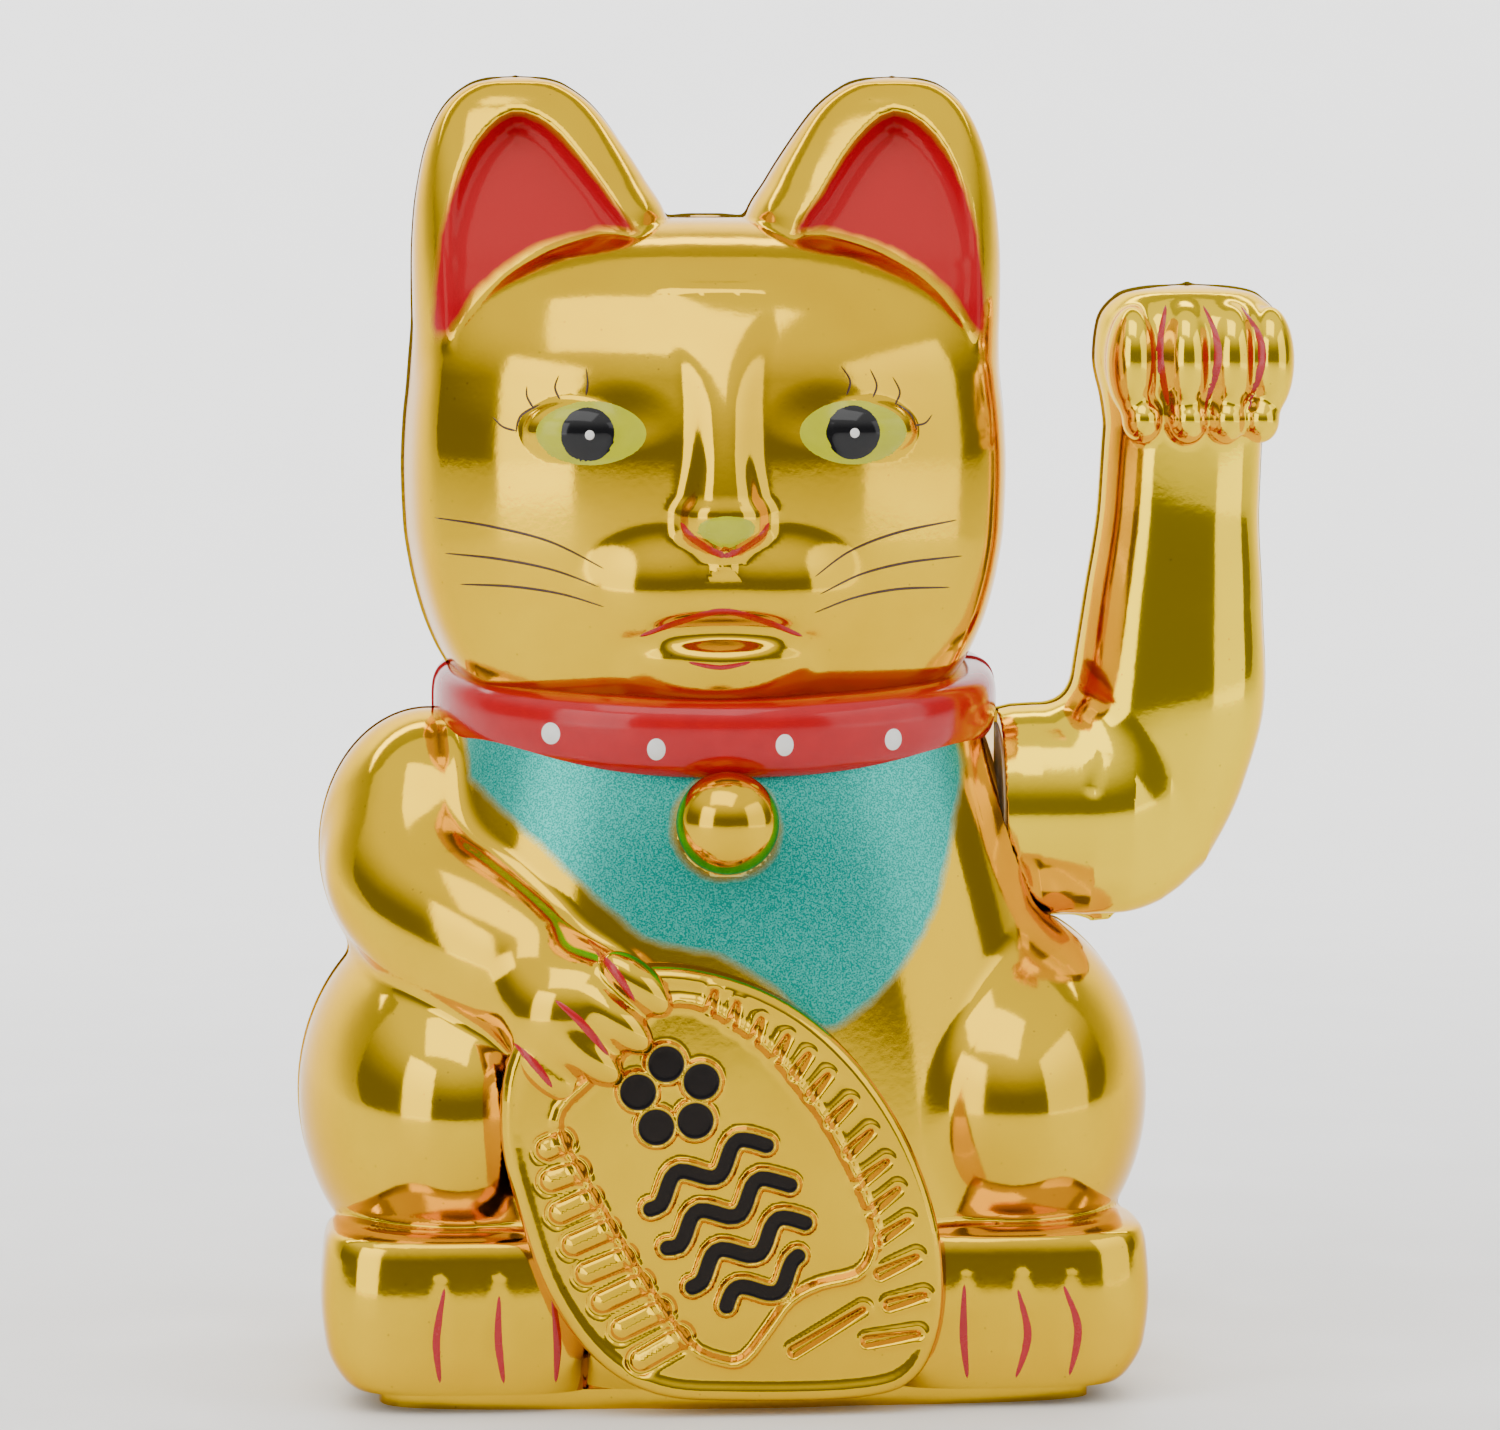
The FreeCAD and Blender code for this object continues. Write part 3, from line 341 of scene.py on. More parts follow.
def arm_field(x, y, z):
    """The raised arm on its round root, with four fingers curled over the paw."""
    radial = np.sqrt(y ** 2 + (z - AXLE_Z) ** 2)
    along = np.interp(x, *ARM_ROOT)
    root = np.maximum(radial - along, ARM_X + SHOULDER_GAP - x)
    root = np.maximum(root, x - ARM_ROOT[0][-1])
    f = smin(root, ARM(x, y, z), 5.0)
    for fx in (63.9, 72.0, 79.1, 85.2):
        lift = 0.5 * abs(fx - 74.0) / 10.0
        f = smin(f, ball(x, y, z, fx, -12.2 + 2.4 * lift, 156.0, 3.9, 6.2, 8.4), 1.6)
        f = smin(f, ball(x, y, z, fx * 0.86 + 10.4, -12.6 + lift, 147.0, 3.0, 4.4, 3.6), 1.4)
    for lx, bow in ((68.8, -0.9), (75.2, 1.1), (81.5, 1.5)):
        cut = [(lx, -17.0, 165.5, 0.5), (lx + bow, -19.2, 156.5, 1.4), (lx, -17.6, 148.0, 0.8)]
        f = smax(f, -chain(x, y, z, cut), 1.2)
    f = smax(f, -chain(x, y, z, ELBOW_CREASE), 1.6)
    return np.maximum(f, ARM_X - x)


# ---------------------------------------------------------------- from fields to meshes
BLOCK, BATCH = 8, 400


def sample(field, lo, hi, h):
    """The field on a grid. Only blocks near the surface are worked out in full."""
    n = [int(math.ceil((b - a) / h)) + 1 for a, b in zip(lo, hi)]
    blocks = [(k + BLOCK - 1) // BLOCK for k in n]
    centres = [a + (np.arange(k) * BLOCK + (BLOCK - 1) / 2) * h for a, k in zip(lo, blocks)]
    coarse = field(*np.meshgrid(*centres, indexing="ij"))
    grid = np.where(coarse > 0, 9.0, -9.0)
    for axis in range(3):
        grid = np.repeat(grid, BLOCK, axis)
    grid = grid.astype(np.float32)
    near = np.argwhere(np.abs(coarse) < BLOCK * h * 1.5)
    local = np.stack(np.meshgrid(*[np.arange(BLOCK)] * 3, indexing="ij"), -1).reshape(-1, 3)
    for start in range(0, len(near), BATCH):
        index = (near[start:start + BATCH, None, :] * BLOCK + local[None]).reshape(-1, 3)
        p = index * h + np.array(lo)
        grid[index[:, 0], index[:, 1], index[:, 2]] = field(p[:, 0], p[:, 1], p[:, 2])
    return grid[:n[0], :n[1], :n[2]]


def nets(grid, lo, h):
    """One vertex in every cell the surface passes through, and quads between neighbours."""
    s = grid < 0
    cells = np.zeros([k - 1 for k in grid.shape], np.uint8)
    corners = [(i, j, k) for i in (0, 1) for j in (0, 1) for k in (0, 1)]

    def shift(a, c):
        return a[c[0]:a.shape[0] - 1 + c[0], c[1]:a.shape[1] - 1 + c[1], c[2]:a.shape[2] - 1 + c[2]]

    for c in corners:
        cells += shift(s, c)
    where = np.argwhere((cells > 0) & (cells < 8))
    number = np.full(cells.shape, -1, np.int32)
    number[where[:, 0], where[:, 1], where[:, 2]] = np.arange(len(where))
    total, hits = np.zeros((len(where), 3)), np.zeros(len(where))
    for a in corners:
        for axis in range(3):
            if a[axis]:
                continue
            b = list(a)
            b[axis] = 1
            fa = grid[where[:, 0] + a[0], where[:, 1] + a[1], where[:, 2] + a[2]]
            fb = grid[where[:, 0] + b[0], where[:, 1] + b[1], where[:, 2] + b[2]]
            cross = (fa < 0) != (fb < 0)
            t = np.where(cross, fa / np.where(cross, fa - fb, 1), 0)
            point = np.array(a, float)[None] + np.eye(3)[axis][None] * t[:, None]
            total += np.where(cross[:, None], point, 0)
            hits += cross
    points = (where + total / hits[:, None]) * h + np.array(lo)
    quads = []
    for axis in range(3):
        o1, o2 = (axis + 1) % 3, (axis + 2) % 3
        head, tail = [slice(None)] * 3, [slice(None)] * 3
        head[axis], tail[axis] = slice(0, -1), slice(1, None)
        at = np.argwhere(s[tuple(head)] != s[tuple(tail)])
        for o in (o1, o2):
            at = at[(at[:, o] > 0) & (at[:, o] < grid.shape[o] - 1)]
        e1, e2 = np.eye(3, dtype=int)[o1], np.eye(3, dtype=int)[o2]
        four = [at - e1 - e2, at - e2, at, at - e1]
        quad = np.stack([number[c[:, 0], c[:, 1], c[:, 2]] for c in four], 1)
        inside = s[at[:, 0], at[:, 1], at[:, 2]]
        quad[~inside] = quad[~inside][:, ::-1]
        quads.append(quad)
    return points, np.concatenate(quads), where


def slope(field, p, d=0.04):
    """Value and gradient of the field at the points."""
    g, total = np.zeros_like(p), 0.0
    for c in ((1, 1, 1), (1, -1, -1), (-1, 1, -1), (-1, -1, 1)):
        c = np.array(c, float)
        v = field(*(p + d * c).T)
        g += v[:, None] * c
        total = total + v
    return total / 4, g / (4 * d)


def settle(field, p, reach, free=(1, 1, 1), rounds=3):
    """Moves the points onto the surface, only along the free axes."""
    start = p.copy()
    for _ in range(rounds):
        v, g = slope(field, p)
        g = g * np.array(free, float)
        p = p - (v / np.maximum((g ** 2).sum(1), 0.05))[:, None] * g
        p = start + np.clip(p - start, -reach, reach)
    return p


def normals_of(field, p):
    """Unit normals of the field at the points."""
    g = slope(field, p, 0.03)[1]
    return g / np.maximum(np.linalg.norm(g, axis=1), 1e-6)[:, None]


def make(name, verts, faces, corner_normals, values=None):
    """A mesh object from millimetres, with a value at each vertex for every name in values."""
    mesh = bpy.data.meshes.new(name)
    mesh.vertices.add(len(verts))
    mesh.vertices.foreach_set("co", (np.asarray(verts, float) * MM).ravel())
    size = faces.shape[1]
    mesh.loops.add(faces.size)
    mesh.loops.foreach_set("vertex_index", faces.ravel().astype(np.int32))
    mesh.polygons.add(len(faces))
    mesh.polygons.foreach_set("loop_start", np.arange(0, faces.size, size, dtype=np.int32))
    mesh.polygons.foreach_set("loop_total", np.full(len(faces), size, np.int32))
    mesh.update(calc_edges=True)
    mesh.polygons.foreach_set("use_smooth", np.ones(len(faces), bool))
    mesh.normals_split_custom_set(corner_normals.reshape(-1, 3).astype(np.float32))
    for key, v in (values or {}).items():
        mesh.attributes.new(key, "FLOAT", "POINT").data.foreach_set("value", v.astype(np.float32))
    o = bpy.data.objects.new(name, mesh)
    bpy.context.collection.objects.link(o)
    return o


def shell(name, field, lo, hi, h, keep, wall=1.6, floor=None, paint=None):
    """A moulded half: the surface on one side of the parting plane, with its inner face and rim.

    keep is -1 for the front half (y below 0) and 1 for the rear. floor cuts it off level at that height.
    """
    lo = list(lo)
    lo[1] = (math.floor(lo[1] / h) + 0.5) * h
    if floor is not None:
        lo[2] = floor - h * 2.5
    grid = sample(field, lo, hi, h)
    p, quads, cell = nets(grid, lo, h)
    seam = np.abs(lo[1] + (cell[:, 1] + 0.5) * h) < 0.25 * h
    base = np.zeros(len(p), bool)
    p = settle(field, p, 0.8 * h)
    p[seam, 1] = 0.0
    if floor is not None:
        base = cell[:, 2] == 2
        p[base, 2] = floor
    for some, reach, free in ((seam, 1.2, (1, 0, 1)), (base, 1.2, (1, 1, 0)), (seam & base, 1.5, (1, 0, 0))):
        if some.any():
            p[some] = settle(field, p[some], reach * h, free)
    mid = lo[1] + (cell[:, 1] + 0.5) * h
    good = (mid * keep > -0.25 * h)
    if floor is not None:
        good &= cell[:, 2] >= 2
    quads = quads[good[quads].all(1)]
    flat = (seam[quads].all(1)) | (base[quads].all(1))
    quads = quads[~flat]
    used, inverse = np.unique(quads, return_inverse=True)
    quads = inverse.reshape(-1, 4)
    p, seam, base = p[used], seam[used], base[used]
    n = normals_of(field, p)
    inward = n.copy()
    inward[seam, 1] = 0
    inward[base, 2] = 0
    inward /= np.maximum(np.linalg.norm(inward, axis=1), 1e-3)[:, None]
    count = len(p)
    edges = np.concatenate([quads[:, [i, (i + 1) % 4]] for i in range(4)])
    key = edges[:, 0].astype(np.int64) * count + edges[:, 1]
    back = edges[:, 1].astype(np.int64) * count + edges[:, 0]
    open_edges = edges[~np.isin(key, back)]
    verts = np.concatenate([p, p - inward * wall])
    start, end = open_edges.T
    rim = np.stack([end, start, start + count, end + count], 1)
    faces = np.concatenate([quads, quads[:, ::-1] + count, rim])
    outer_n, inner_n = n[quads], -n[quads[:, ::-1]]
    a, b, c = verts[rim[:, 0]], verts[rim[:, 1]], verts[rim[:, 3]]
    rim_n = np.cross(b - a, c - a)
    rim_n /= np.maximum(np.linalg.norm(rim_n, axis=1), 1e-6)[:, None]
    rim_n = np.repeat(rim_n[:, None, :], 4, axis=1)
    values = None
    if paint:
        values = {k: np.concatenate([v, np.full(count, 5.0)]) for k, v in paint(p).items()}
    return make(name, verts, faces, np.concatenate([outer_n, inner_n, rim_n]), values)


def solid(name, field, lo, hi, h, paint):
    """A closed piece that follows the whole surface of a field."""
    grid = sample(field, lo, hi, h)
    p, quads, _ = nets(grid, lo, h)
    p = settle(field, p, 0.8 * h)
    return make(name, p, quads, normals_of(field, p)[quads], paint(p))


# ---------------------------------------------------------------- painted lines and spots
def find_front(field, x, z, start=-72.0):
    """Where a line along +Y first meets the surface."""
    y = np.full(x.shape, start)
    for _ in range(70):
        d = field(x, y, z)
        y = np.minimum(y + np.clip(d * 0.85, -0.5, 3.0), 0.0)
    return np.stack([x, y, z], 1)


class Paint:
    """Thin coats of paint that lie on a surface, gathered into one piece."""

    def __init__(self, name, field, body, material):
        self.name, self.field, self.body, self.material = name, field, body, material
        self.verts, self.quads, self.tris, self.count = [], [], [], 0

    def add(self, xz, rise, quads, tris=()):
        """Points in X and Z laid on the surface and lifted by rise, with the faces between them."""
        p = find_front(self.field, xz[:, 0], xz[:, 1])
        p = p + normals_of(self.field, p) * rise[:, None]
        self.verts.append(p)
        self.quads.append(quads + self.count)
        if len(tris):
            self.tris.append(tris + self.count)
        self.count += len(p)

    def line(self, points, width, rise=0.07, thin=(0.25, 0.25), least=0.3):
        """A brush stroke through points in X and Z, thinner towards its ends."""
        c = rounded(points, closed=False, count=10)
        t = np.concatenate([[0], np.cumsum(np.linalg.norm(np.diff(c, axis=0), axis=1))])
        n = max(8, int(t[-1] / 0.35))
        s = np.linspace(0, t[-1], n)
        c = np.stack([np.interp(s, t, c[:, 0]), np.interp(s, t, c[:, 1])], 1)
        u = s / t[-1]
        grow = np.minimum(np.minimum(u / max(thin[0], 1e-3), (1 - u) / max(thin[1], 1e-3)), 1)
        half = width / 2 * (least + (1 - least) * np.sqrt(np.clip(grow, 0, 1)))
        half = half * np.sqrt(np.clip(np.minimum(u, 1 - u) * n / 1.5 + 0.02, 0, 1))
        d = np.gradient(c, axis=0)
        d /= np.linalg.norm(d, axis=1)[:, None] + 1e-9
        side = np.stack([d[:, 1], -d[:, 0]], 1)
        across = np.array([-1.0, -0.6, 0.0, 0.6, 1.0])
        xz = c[:, None, :] + side[:, None, :] * (half[:, None] * across[None])[:, :, None]
        up = np.repeat((rise * (1 - across ** 2) - 0.02 * across ** 2)[None], n, 0)
        index = np.arange(n * 5).reshape(n, 5)
        f = np.stack([index[:-1, :-1], index[:-1, 1:], index[1:, 1:], index[1:, :-1]], -1).reshape(-1, 4)
        self.add(xz.reshape(-1, 2), up.ravel(), f)

    def spot(self, cx, cz, rx, rz, rise=0.08, shape=None, rings=5, around=40, dome=None):
        """A filled spot, oval or with an outline of its own."""
        a = np.linspace(0, 2 * np.pi, around, endpoint=False)
        r = np.linspace(0, 1, rings + 1)[1:]
        ring = np.stack([np.cos(a) * rx, np.sin(a) * rz], 1) if shape is None else shape(a)
        xz = np.concatenate([np.zeros((1, 2)), (r[:, None, None] * ring[None]).reshape(-1, 2)])
        level = np.concatenate([[0.0], np.repeat(r, around)])
        up = rise * (1 - level ** 2) if dome else np.where(level > 0.999, -0.02, rise)
        k = np.arange(around)
        middle = np.stack([np.zeros(around, int), 1 + (k + 1) % around, 1 + k], 1)
        rest = []
        for i in range(rings - 1):
            lo, hi = 1 + i * around, 1 + (i + 1) * around
            rest.append(np.stack([lo + k, lo + (k + 1) % around, hi + (k + 1) % around, hi + k], 1))
        self.add(xz + np.array([cx, cz]), up, np.concatenate(rest), middle)

    def finish(self):
        """The mesh of all strokes and spots, with its faces turned outwards."""
        verts = np.concatenate(self.verts)
        faces = [face for block in self.quads + self.tris for face in block.tolist()]
        mesh = bpy.data.meshes.new(self.name)
        mesh.from_pydata((verts * MM).tolist(), [], faces)
        n = normals_of(self.field, verts)
        flip = 0
        for poly in mesh.polygons[:40]:
            flip += 1 if np.dot(poly.normal, n[poly.vertices[0]]) < 0 else -1
        if flip > 0:
            mesh.flip_normals()
        mesh.polygons.foreach_set("use_smooth", np.ones(len(mesh.polygons), bool))
        o = bpy.data.objects.new(self.name, mesh)
        bpy.context.collection.objects.link(o)
        dress(o, self.material, self.body)


# ---------------------------------------------------------------- materials
def material(name):
    """A new material with its shader, a function that adds nodes, and its links."""
    m = bpy.data.materials.new(name)
    m.use_nodes = True
    nodes, links = m.node_tree.nodes, m.node_tree.links
    shader = nodes["Principled BSDF"]

    def node(kind, **settings):
        n = nodes.new(kind)
        for k, v in settings.items():
            if k.startswith("in_"):
                n.inputs[int(k[3:]) if k[3:].isdigit() else k[3:]].default_value = v
            else:
                setattr(n, k, v)
        return n

    return m, shader, node, links


def noise(node, links, coords, scale, detail=3.0, rough=0.5):
    """Noise of the given scale in the object's own coordinates."""
    n = node("ShaderNodeTexNoise", in_Scale=scale, in_Detail=detail, in_Roughness=rough)
    links.new(coords.outputs["Object"], n.inputs["Vector"])
    return n.outputs["Fac"]


def spread(node, links, source, lo, hi, from_lo=0.3, from_hi=0.7):
    """The source's values between from_lo and from_hi, stretched to lo and hi."""
    n = node("ShaderNodeMapRange")
    for i, v in enumerate((from_lo, from_hi, lo, hi)):
        n.inputs[i + 1].default_value = v
    links.new(source, n.inputs[0])
    return n.outputs[0]


def feed(links, socket, value):
    """Links a socket's value to it, or sets it to a colour or a number."""
    if isinstance(value, bpy.types.NodeSocket):
        links.new(value, socket)
    else:
        socket.default_value = (*value, 1.0) if isinstance(value, tuple) else value


def mix(node, links, factor, a, b):
    """Two colours mixed."""
    n = node("ShaderNodeMix", data_type="RGBA")
    for socket, value in ((n.inputs[0], factor), (n.inputs[6], a), (n.inputs[7], b)):
        feed(links, socket, value)
    return n.outputs[2]


def blend_value(node, links, factor, a, b):
    """Two numbers mixed."""
    n = node("ShaderNodeMix", data_type="FLOAT")
    for socket, value in ((n.inputs[0], factor), (n.inputs[2], a), (n.inputs[3], b)):
        feed(links, socket, value)
    return n.outputs[0]


def bump(node, links, shader, height, strength, distance):
    b = node("ShaderNodeBump", in_Strength=strength, in_Distance=distance)
    links.new(height, b.inputs["Height"])
    links.new(b.outputs[0], shader.inputs["Normal"])


def attribute(node, key):
    return node("ShaderNodeAttribute", attribute_type="GEOMETRY", attribute_name=key).outputs["Fac"]


PIN_HOLE = (0.35, 0.2, 0.03)
GOLD_A, GOLD_B = (0.76, 0.48, 0.001), (0.70, 0.42, 0.0005)
RED = (0.40, 0.0, 0.009)
TEAL = (0.002, 0.36, 0.30)


def gold(name, tone=(GOLD_A, GOLD_B), coats=()):
    """Plated gold with pin-holes and soft wear.

    coats are paints over it, each (attribute, colour, softness, kind). The attribute is the distance to the
    paint's edge in millimetres, negative under the paint.
    """
    m, shader, node, links = material(name)
    at = node("ShaderNodeTexCoord")
    wide, fine = noise(node, links, at, 45.0), noise(node, links, at, 900.0, 4.0)
    colour = mix(node, links, spread(node, links, wide, 0, 1), *tone)
    rough = spread(node, links, wide, 0.075, 0.13)
    metal = 1.0
    dots = node("ShaderNodeTexVoronoi", in_Scale=330.0)
    links.new(at.outputs["Object"], dots.inputs["Vector"])
    pin = spread(node, links, dots.outputs["Distance"], 1.0, 0.0, 0.0, 0.07)
    colour = mix(node, links, pin, colour, PIN_HOLE)
    for key, paint, soft, kind in coats:
        d = attribute(node, key)
        edge = noise(node, links, at, 260.0, 3.0)
        wobble = node("ShaderNodeMath", operation="MULTIPLY_ADD", in_1=soft * 0.7)
        links.new(edge, wobble.inputs[0])
        links.new(d, wobble.inputs[2])
        cover = spread(node, links, wobble.outputs[0], 1.0, 0.0, -soft * 0.35, soft * 0.65)
        if kind == "pearl":
            sparkle = noise(node, links, at, 4200.0, 1.0)
            deep, light = tuple(c * 0.8 for c in paint), tuple(min(1.0, c * 1.35 + 0.06) for c in paint)
            paint = mix(node, links, spread(node, links, sparkle, 0, 1, 0.42, 0.62), deep, light)
        colour = mix(node, links, cover, colour, paint)
        rough = blend_value(node, links, cover, rough, 0.32 if kind == "pearl" else 0.16)
        metal = blend_value(node, links, cover, metal, 0.55 if kind == "pearl" else 0.0)
    links.new(colour, shader.inputs["Base Color"])
    links.new(rough, shader.inputs["Roughness"])
    feed(links, shader.inputs["Metallic"], metal)
    shader.inputs["Specular IOR Level"].default_value = 0.22
    shader.inputs["Specular Tint"].default_value = (0.9, 0.72, 0.5, 1.0)
    bump(node, links, shader, fine, 0.05, 0.0002)
    return m


def paint_coat(name, colour, rough=0.18, vary=0.12, coat=0.5, scale=300.0):
    """A glossy brushed or dipped coat."""
    m, shader, node, links = material(name)
    at = node("ShaderNodeTexCoord")
    n = noise(node, links, at, scale)
    darker = tuple(c * (1 - vary) for c in colour)
    links.new(mix(node, links, spread(node, links, n, 0, 1), colour, darker), shader.inputs["Base Color"])
    links.new(spread(node, links, n, rough * 0.8, rough * 1.3), shader.inputs["Roughness"])
    shader.inputs["Coat Weight"].default_value = coat
    shader.inputs["Specular IOR Level"].default_value = 0.35
    shader.inputs["Coat Roughness"].default_value = 0.06
    bump(node, links, shader, n, 0.06, 0.0003)
    return m


def plain(name, colour, rough, metallic=0.0, scale=200.0, vary=0.15, brushed=False):
    """Moulded plastic, turned or drawn metal, wire and board surfaces."""
    m, shader, node, links = material(name)
    at = node("ShaderNodeTexCoord")
    if brushed:
        stretch = node("ShaderNodeMapping", in_Scale=(0.08, 1.0, 1.0))
        links.new(at.outputs["Object"], stretch.inputs["Vector"])
        n = node("ShaderNodeTexNoise", in_Scale=scale * 6, in_Detail=4.0)
        links.new(stretch.outputs[0], n.inputs["Vector"])
        n = n.outputs["Fac"]
    else:
        n = noise(node, links, at, scale, 4.0)
    darker = tuple(c * (1 - vary) for c in colour)
    links.new(mix(node, links, spread(node, links, n, 0, 1), colour, darker), shader.inputs["Base Color"])
    links.new(spread(node, links, n, rough * 0.75, min(1.0, rough * 1.3)), shader.inputs["Roughness"])
    shader.inputs["Metallic"].default_value = metallic
    bump(node, links, shader, n, 0.12, 0.0002)
    return m


def dress(o, mat, body):
    """Gives a piece its material, body and slot."""
    o.data.materials.clear()
    o.data.materials.append(mat)
    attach(o, body)
    return o


# ---------------------------------------------------------------- finishes of the CAD nodes
FINISHES = {
    "white_plastic": plain("white_plastic", (0.78, 0.76, 0.70), 0.45, scale=260.0, vary=0.06),
    "black_plastic": plain("black_plastic", (0.02, 0.02, 0.022), 0.5, scale=420.0, vary=0.3),
    "steel": plain("steel", (0.60, 0.60, 0.61), 0.22, 1.0, 160.0, 0.12, brushed=True),
    "spring_steel": plain("spring_steel", (0.16, 0.17, 0.22), 0.28, 1.0, 260.0, 0.2),
    "zinc_screws": plain("zinc_screws", (0.66, 0.67, 0.70), 0.26, 1.0, 300.0, 0.14),
    "brass": plain("brass", (0.72, 0.50, 0.18), 0.24, 1.0, 220.0, 0.15, brushed=True),
    "magnet": plain("magnet", (0.68, 0.68, 0.70), 0.14, 1.0, 240.0, 0.08),
    "cast_weight": plain("cast_weight", (0.09, 0.09, 0.10), 0.6, 0.7, 340.0, 0.3),
    "cell_case": plain("cell_case", (0.02, 0.05, 0.16), 0.25, scale=200.0, vary=0.1),
    "contact_metal": plain("contact_metal", (0.70, 0.69, 0.65), 0.22, 1.0, 260.0, 0.12),
    "copper_wire": plain("copper_wire", (0.62, 0.20, 0.06), 0.3, 0.9, 900.0, 0.35, brushed=True),
    "board": plain("board", (0.30, 0.17, 0.05), 0.4, scale=300.0, vary=0.2),
    "capacitor_can": plain("capacitor_can", (0.01, 0.012, 0.03), 0.3, scale=240.0, vary=0.2),
    "component_black": plain("component_black", (0.015, 0.015, 0.015), 0.55, scale=420.0, vary=0.25),
    "resistor_body": plain("resistor_body", (0.62, 0.44, 0.24), 0.3, scale=320.0, vary=0.12),
    "switch_metal": plain("switch_metal", (0.62, 0.62, 0.62), 0.3, 1.0, 260.0, 0.12, brushed=True),
    "red_insulation": plain("red_insulation", (0.45, 0.01, 0.01), 0.4, scale=300.0, vary=0.1),
    "black_insulation": plain("black_insulation", (0.015, 0.015, 0.015), 0.4, scale=300.0, vary=0.2),
    "gold_base": gold("gold_base"),
}
for part in frame["record"]["subparts"]:
    finish = FINISHES.get(part["material_slot"])
    if finish:
        mesh = frame["nodes"][part["node"]].data
        mesh.materials.clear()
        mesh.materials.append(finish)


# ---------------------------------------------------------------- shells
BIB = rounded([
    (-42.0, 99.5), (-38.0, 92.5), (-30.0, 85.5), (-22.0, 78.0), (-13.0, 70.6), (-2.0, 68.0), (6.0, 63.0),
    (13.6, 57.0), (20.5, 60.5), (28.0, 68.5), (32.5, 78.0), (35.0, 88.0), (36.6, 97.0), (30.0, 104.0),
    (0.0, 106.0), (-30.0, 104.0)], count=4)


def head_paint(p):
    """Distance to the edge of the red paint in the ears."""
    x, y, z = p.T
    red = np.minimum(ear_outline(x, z, -1), ear_outline(x, z, 1))
    crown = HEAD(x, y, z)
    red = np.maximum(np.maximum(red - 0.2, 0.5 - crown), 157.5 - z)
    return {"red": np.where(y < 0, red, 9.0)}


def body_paint(p):
    """Distance to the edge of the teal bib, kept off the folded arm and the bell."""
    x, y, z = p.T
    d = outline_distance(x, z, BIB)
    arm = forearm(x, y, z)
    d = np.maximum(d, 2.2 - arm)
    d = np.maximum(d, 0.8 - bell(x, y, z))
    return {"teal": np.where(y < -4, d, 9.0)}


ARM_WALL = 1.3
H_HEAD, H_BODY, H_ARM = ((0.6, 0.72, 0.6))
gold_head = gold("gold_head", coats=(("red", RED, 1.0, "gloss"),))
gold_body = gold("gold_body", coats=(("teal", TEAL, 1.6, "pearl"),))
gold_rear = gold("gold_rear")
gold_arm = gold("gold_arm", ((0.90, 0.63, 0.003), (0.85, 0.57, 0.002)))
red_gloss = paint_coat("collar_red", (0.46, 0.0, 0.005), 0.14, coat=0.1)


def proud(field):
    """The same form, grown by the step at the parting line."""
    return lambda x, y, z: field(x, y, z) - SEAM_STEP


HEAD_BOX = ((-51.0, -54.0, 98.0), (50.0, 45.0, 202.5))
BODY_BOX = ((-67.0, -60.0, 0.0), (71.0, 56.0, 109.0))
ARM_BOX = ((42.0, -23.0, 66.0), (93.0, 19.0, 170.5))
COLLAR_BOX = ((-46.0, -47.0, 92.0), (47.0, 43.0, 116.0))

front = shell("head_front", head_field, *HEAD_BOX, H_HEAD, -1, paint=head_paint)
rear = shell("head_rear", proud(head_field), *HEAD_BOX, H_HEAD, 1)
dress(front, gold_head, "housing")
dress(rear, gold_rear, "housing")
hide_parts("front_shell")
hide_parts("rear_shell")
chest = shell("body_front", body_field, *BODY_BOX, H_BODY, -1, floor=FOOT_Z, paint=body_paint)
back = shell("body_rear", proud(body_field), *BODY_BOX, H_BODY, 1, floor=FOOT_Z)
dress(chest, gold_body, "housing")
dress(back, gold_rear, "housing")
dress(shell("collar_front", collar_field, *COLLAR_BOX, H_ARM, -1), red_gloss, "housing")
dress(shell("collar_rear", proud(collar_field), *COLLAR_BOX, H_ARM, 1), red_gloss, "housing")
arm_front = shell("arm_front", arm_field, *ARM_BOX, H_ARM, -1, wall=ARM_WALL)
arm_rear = shell("arm_rear", proud(arm_field), *ARM_BOX, H_ARM, 1, wall=ARM_WALL)
dress(arm_front, gold_arm, "waving_arm")
dress(arm_rear, gold_arm, "waving_arm")
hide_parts("arm_front_half")
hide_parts("arm_rear_half")

# ---------------------------------------------------------------- the coin
PANEL = rounded([
    (-12.4, 61.2), (-6.3, 61.8), (-0.6, 58.9), (4.6, 54.8), (8.9, 49.6), (12.7, 44.5), (16.0, 38.7),
    (18.6, 33.0), (20.4, 28.2), (20.0, 24.3), (17.9, 21.5), (12.4, 20.2), (7.9, 17.8), (4.6, 13.5),
    (1.2, 9.2), (-2.0, 8.9), (-7.3, 11.8), (-14.8, 22.9), (-22.4, 36.3), (-25.6, 42.0), (-25.6, 46.3),
    (-20.9, 51.0), (-16.0, 56.4)], count=3)


def across_coin(along, over):
    """A point of the panel from distances along it and across it."""
    return -3.5 + 0.455 * along + 0.89 * over, 35.0 - 0.89 * along + 0.455 * over


def from_stroke(x, z, start, end):
    """Distance to a straight stroke, and how far along it the nearest point is."""
    (x0, z0), (x1, z1) = start, end
    dx, dz = x1 - x0, z1 - z0
    t = np.clip(((x - x0) * dx + (z - z0) * dz) / (dx * dx + dz * dz), 0, 1)
    return np.sqrt((x - x0 - t * dx) ** 2 + (z - z0 - t * dz) ** 2), t


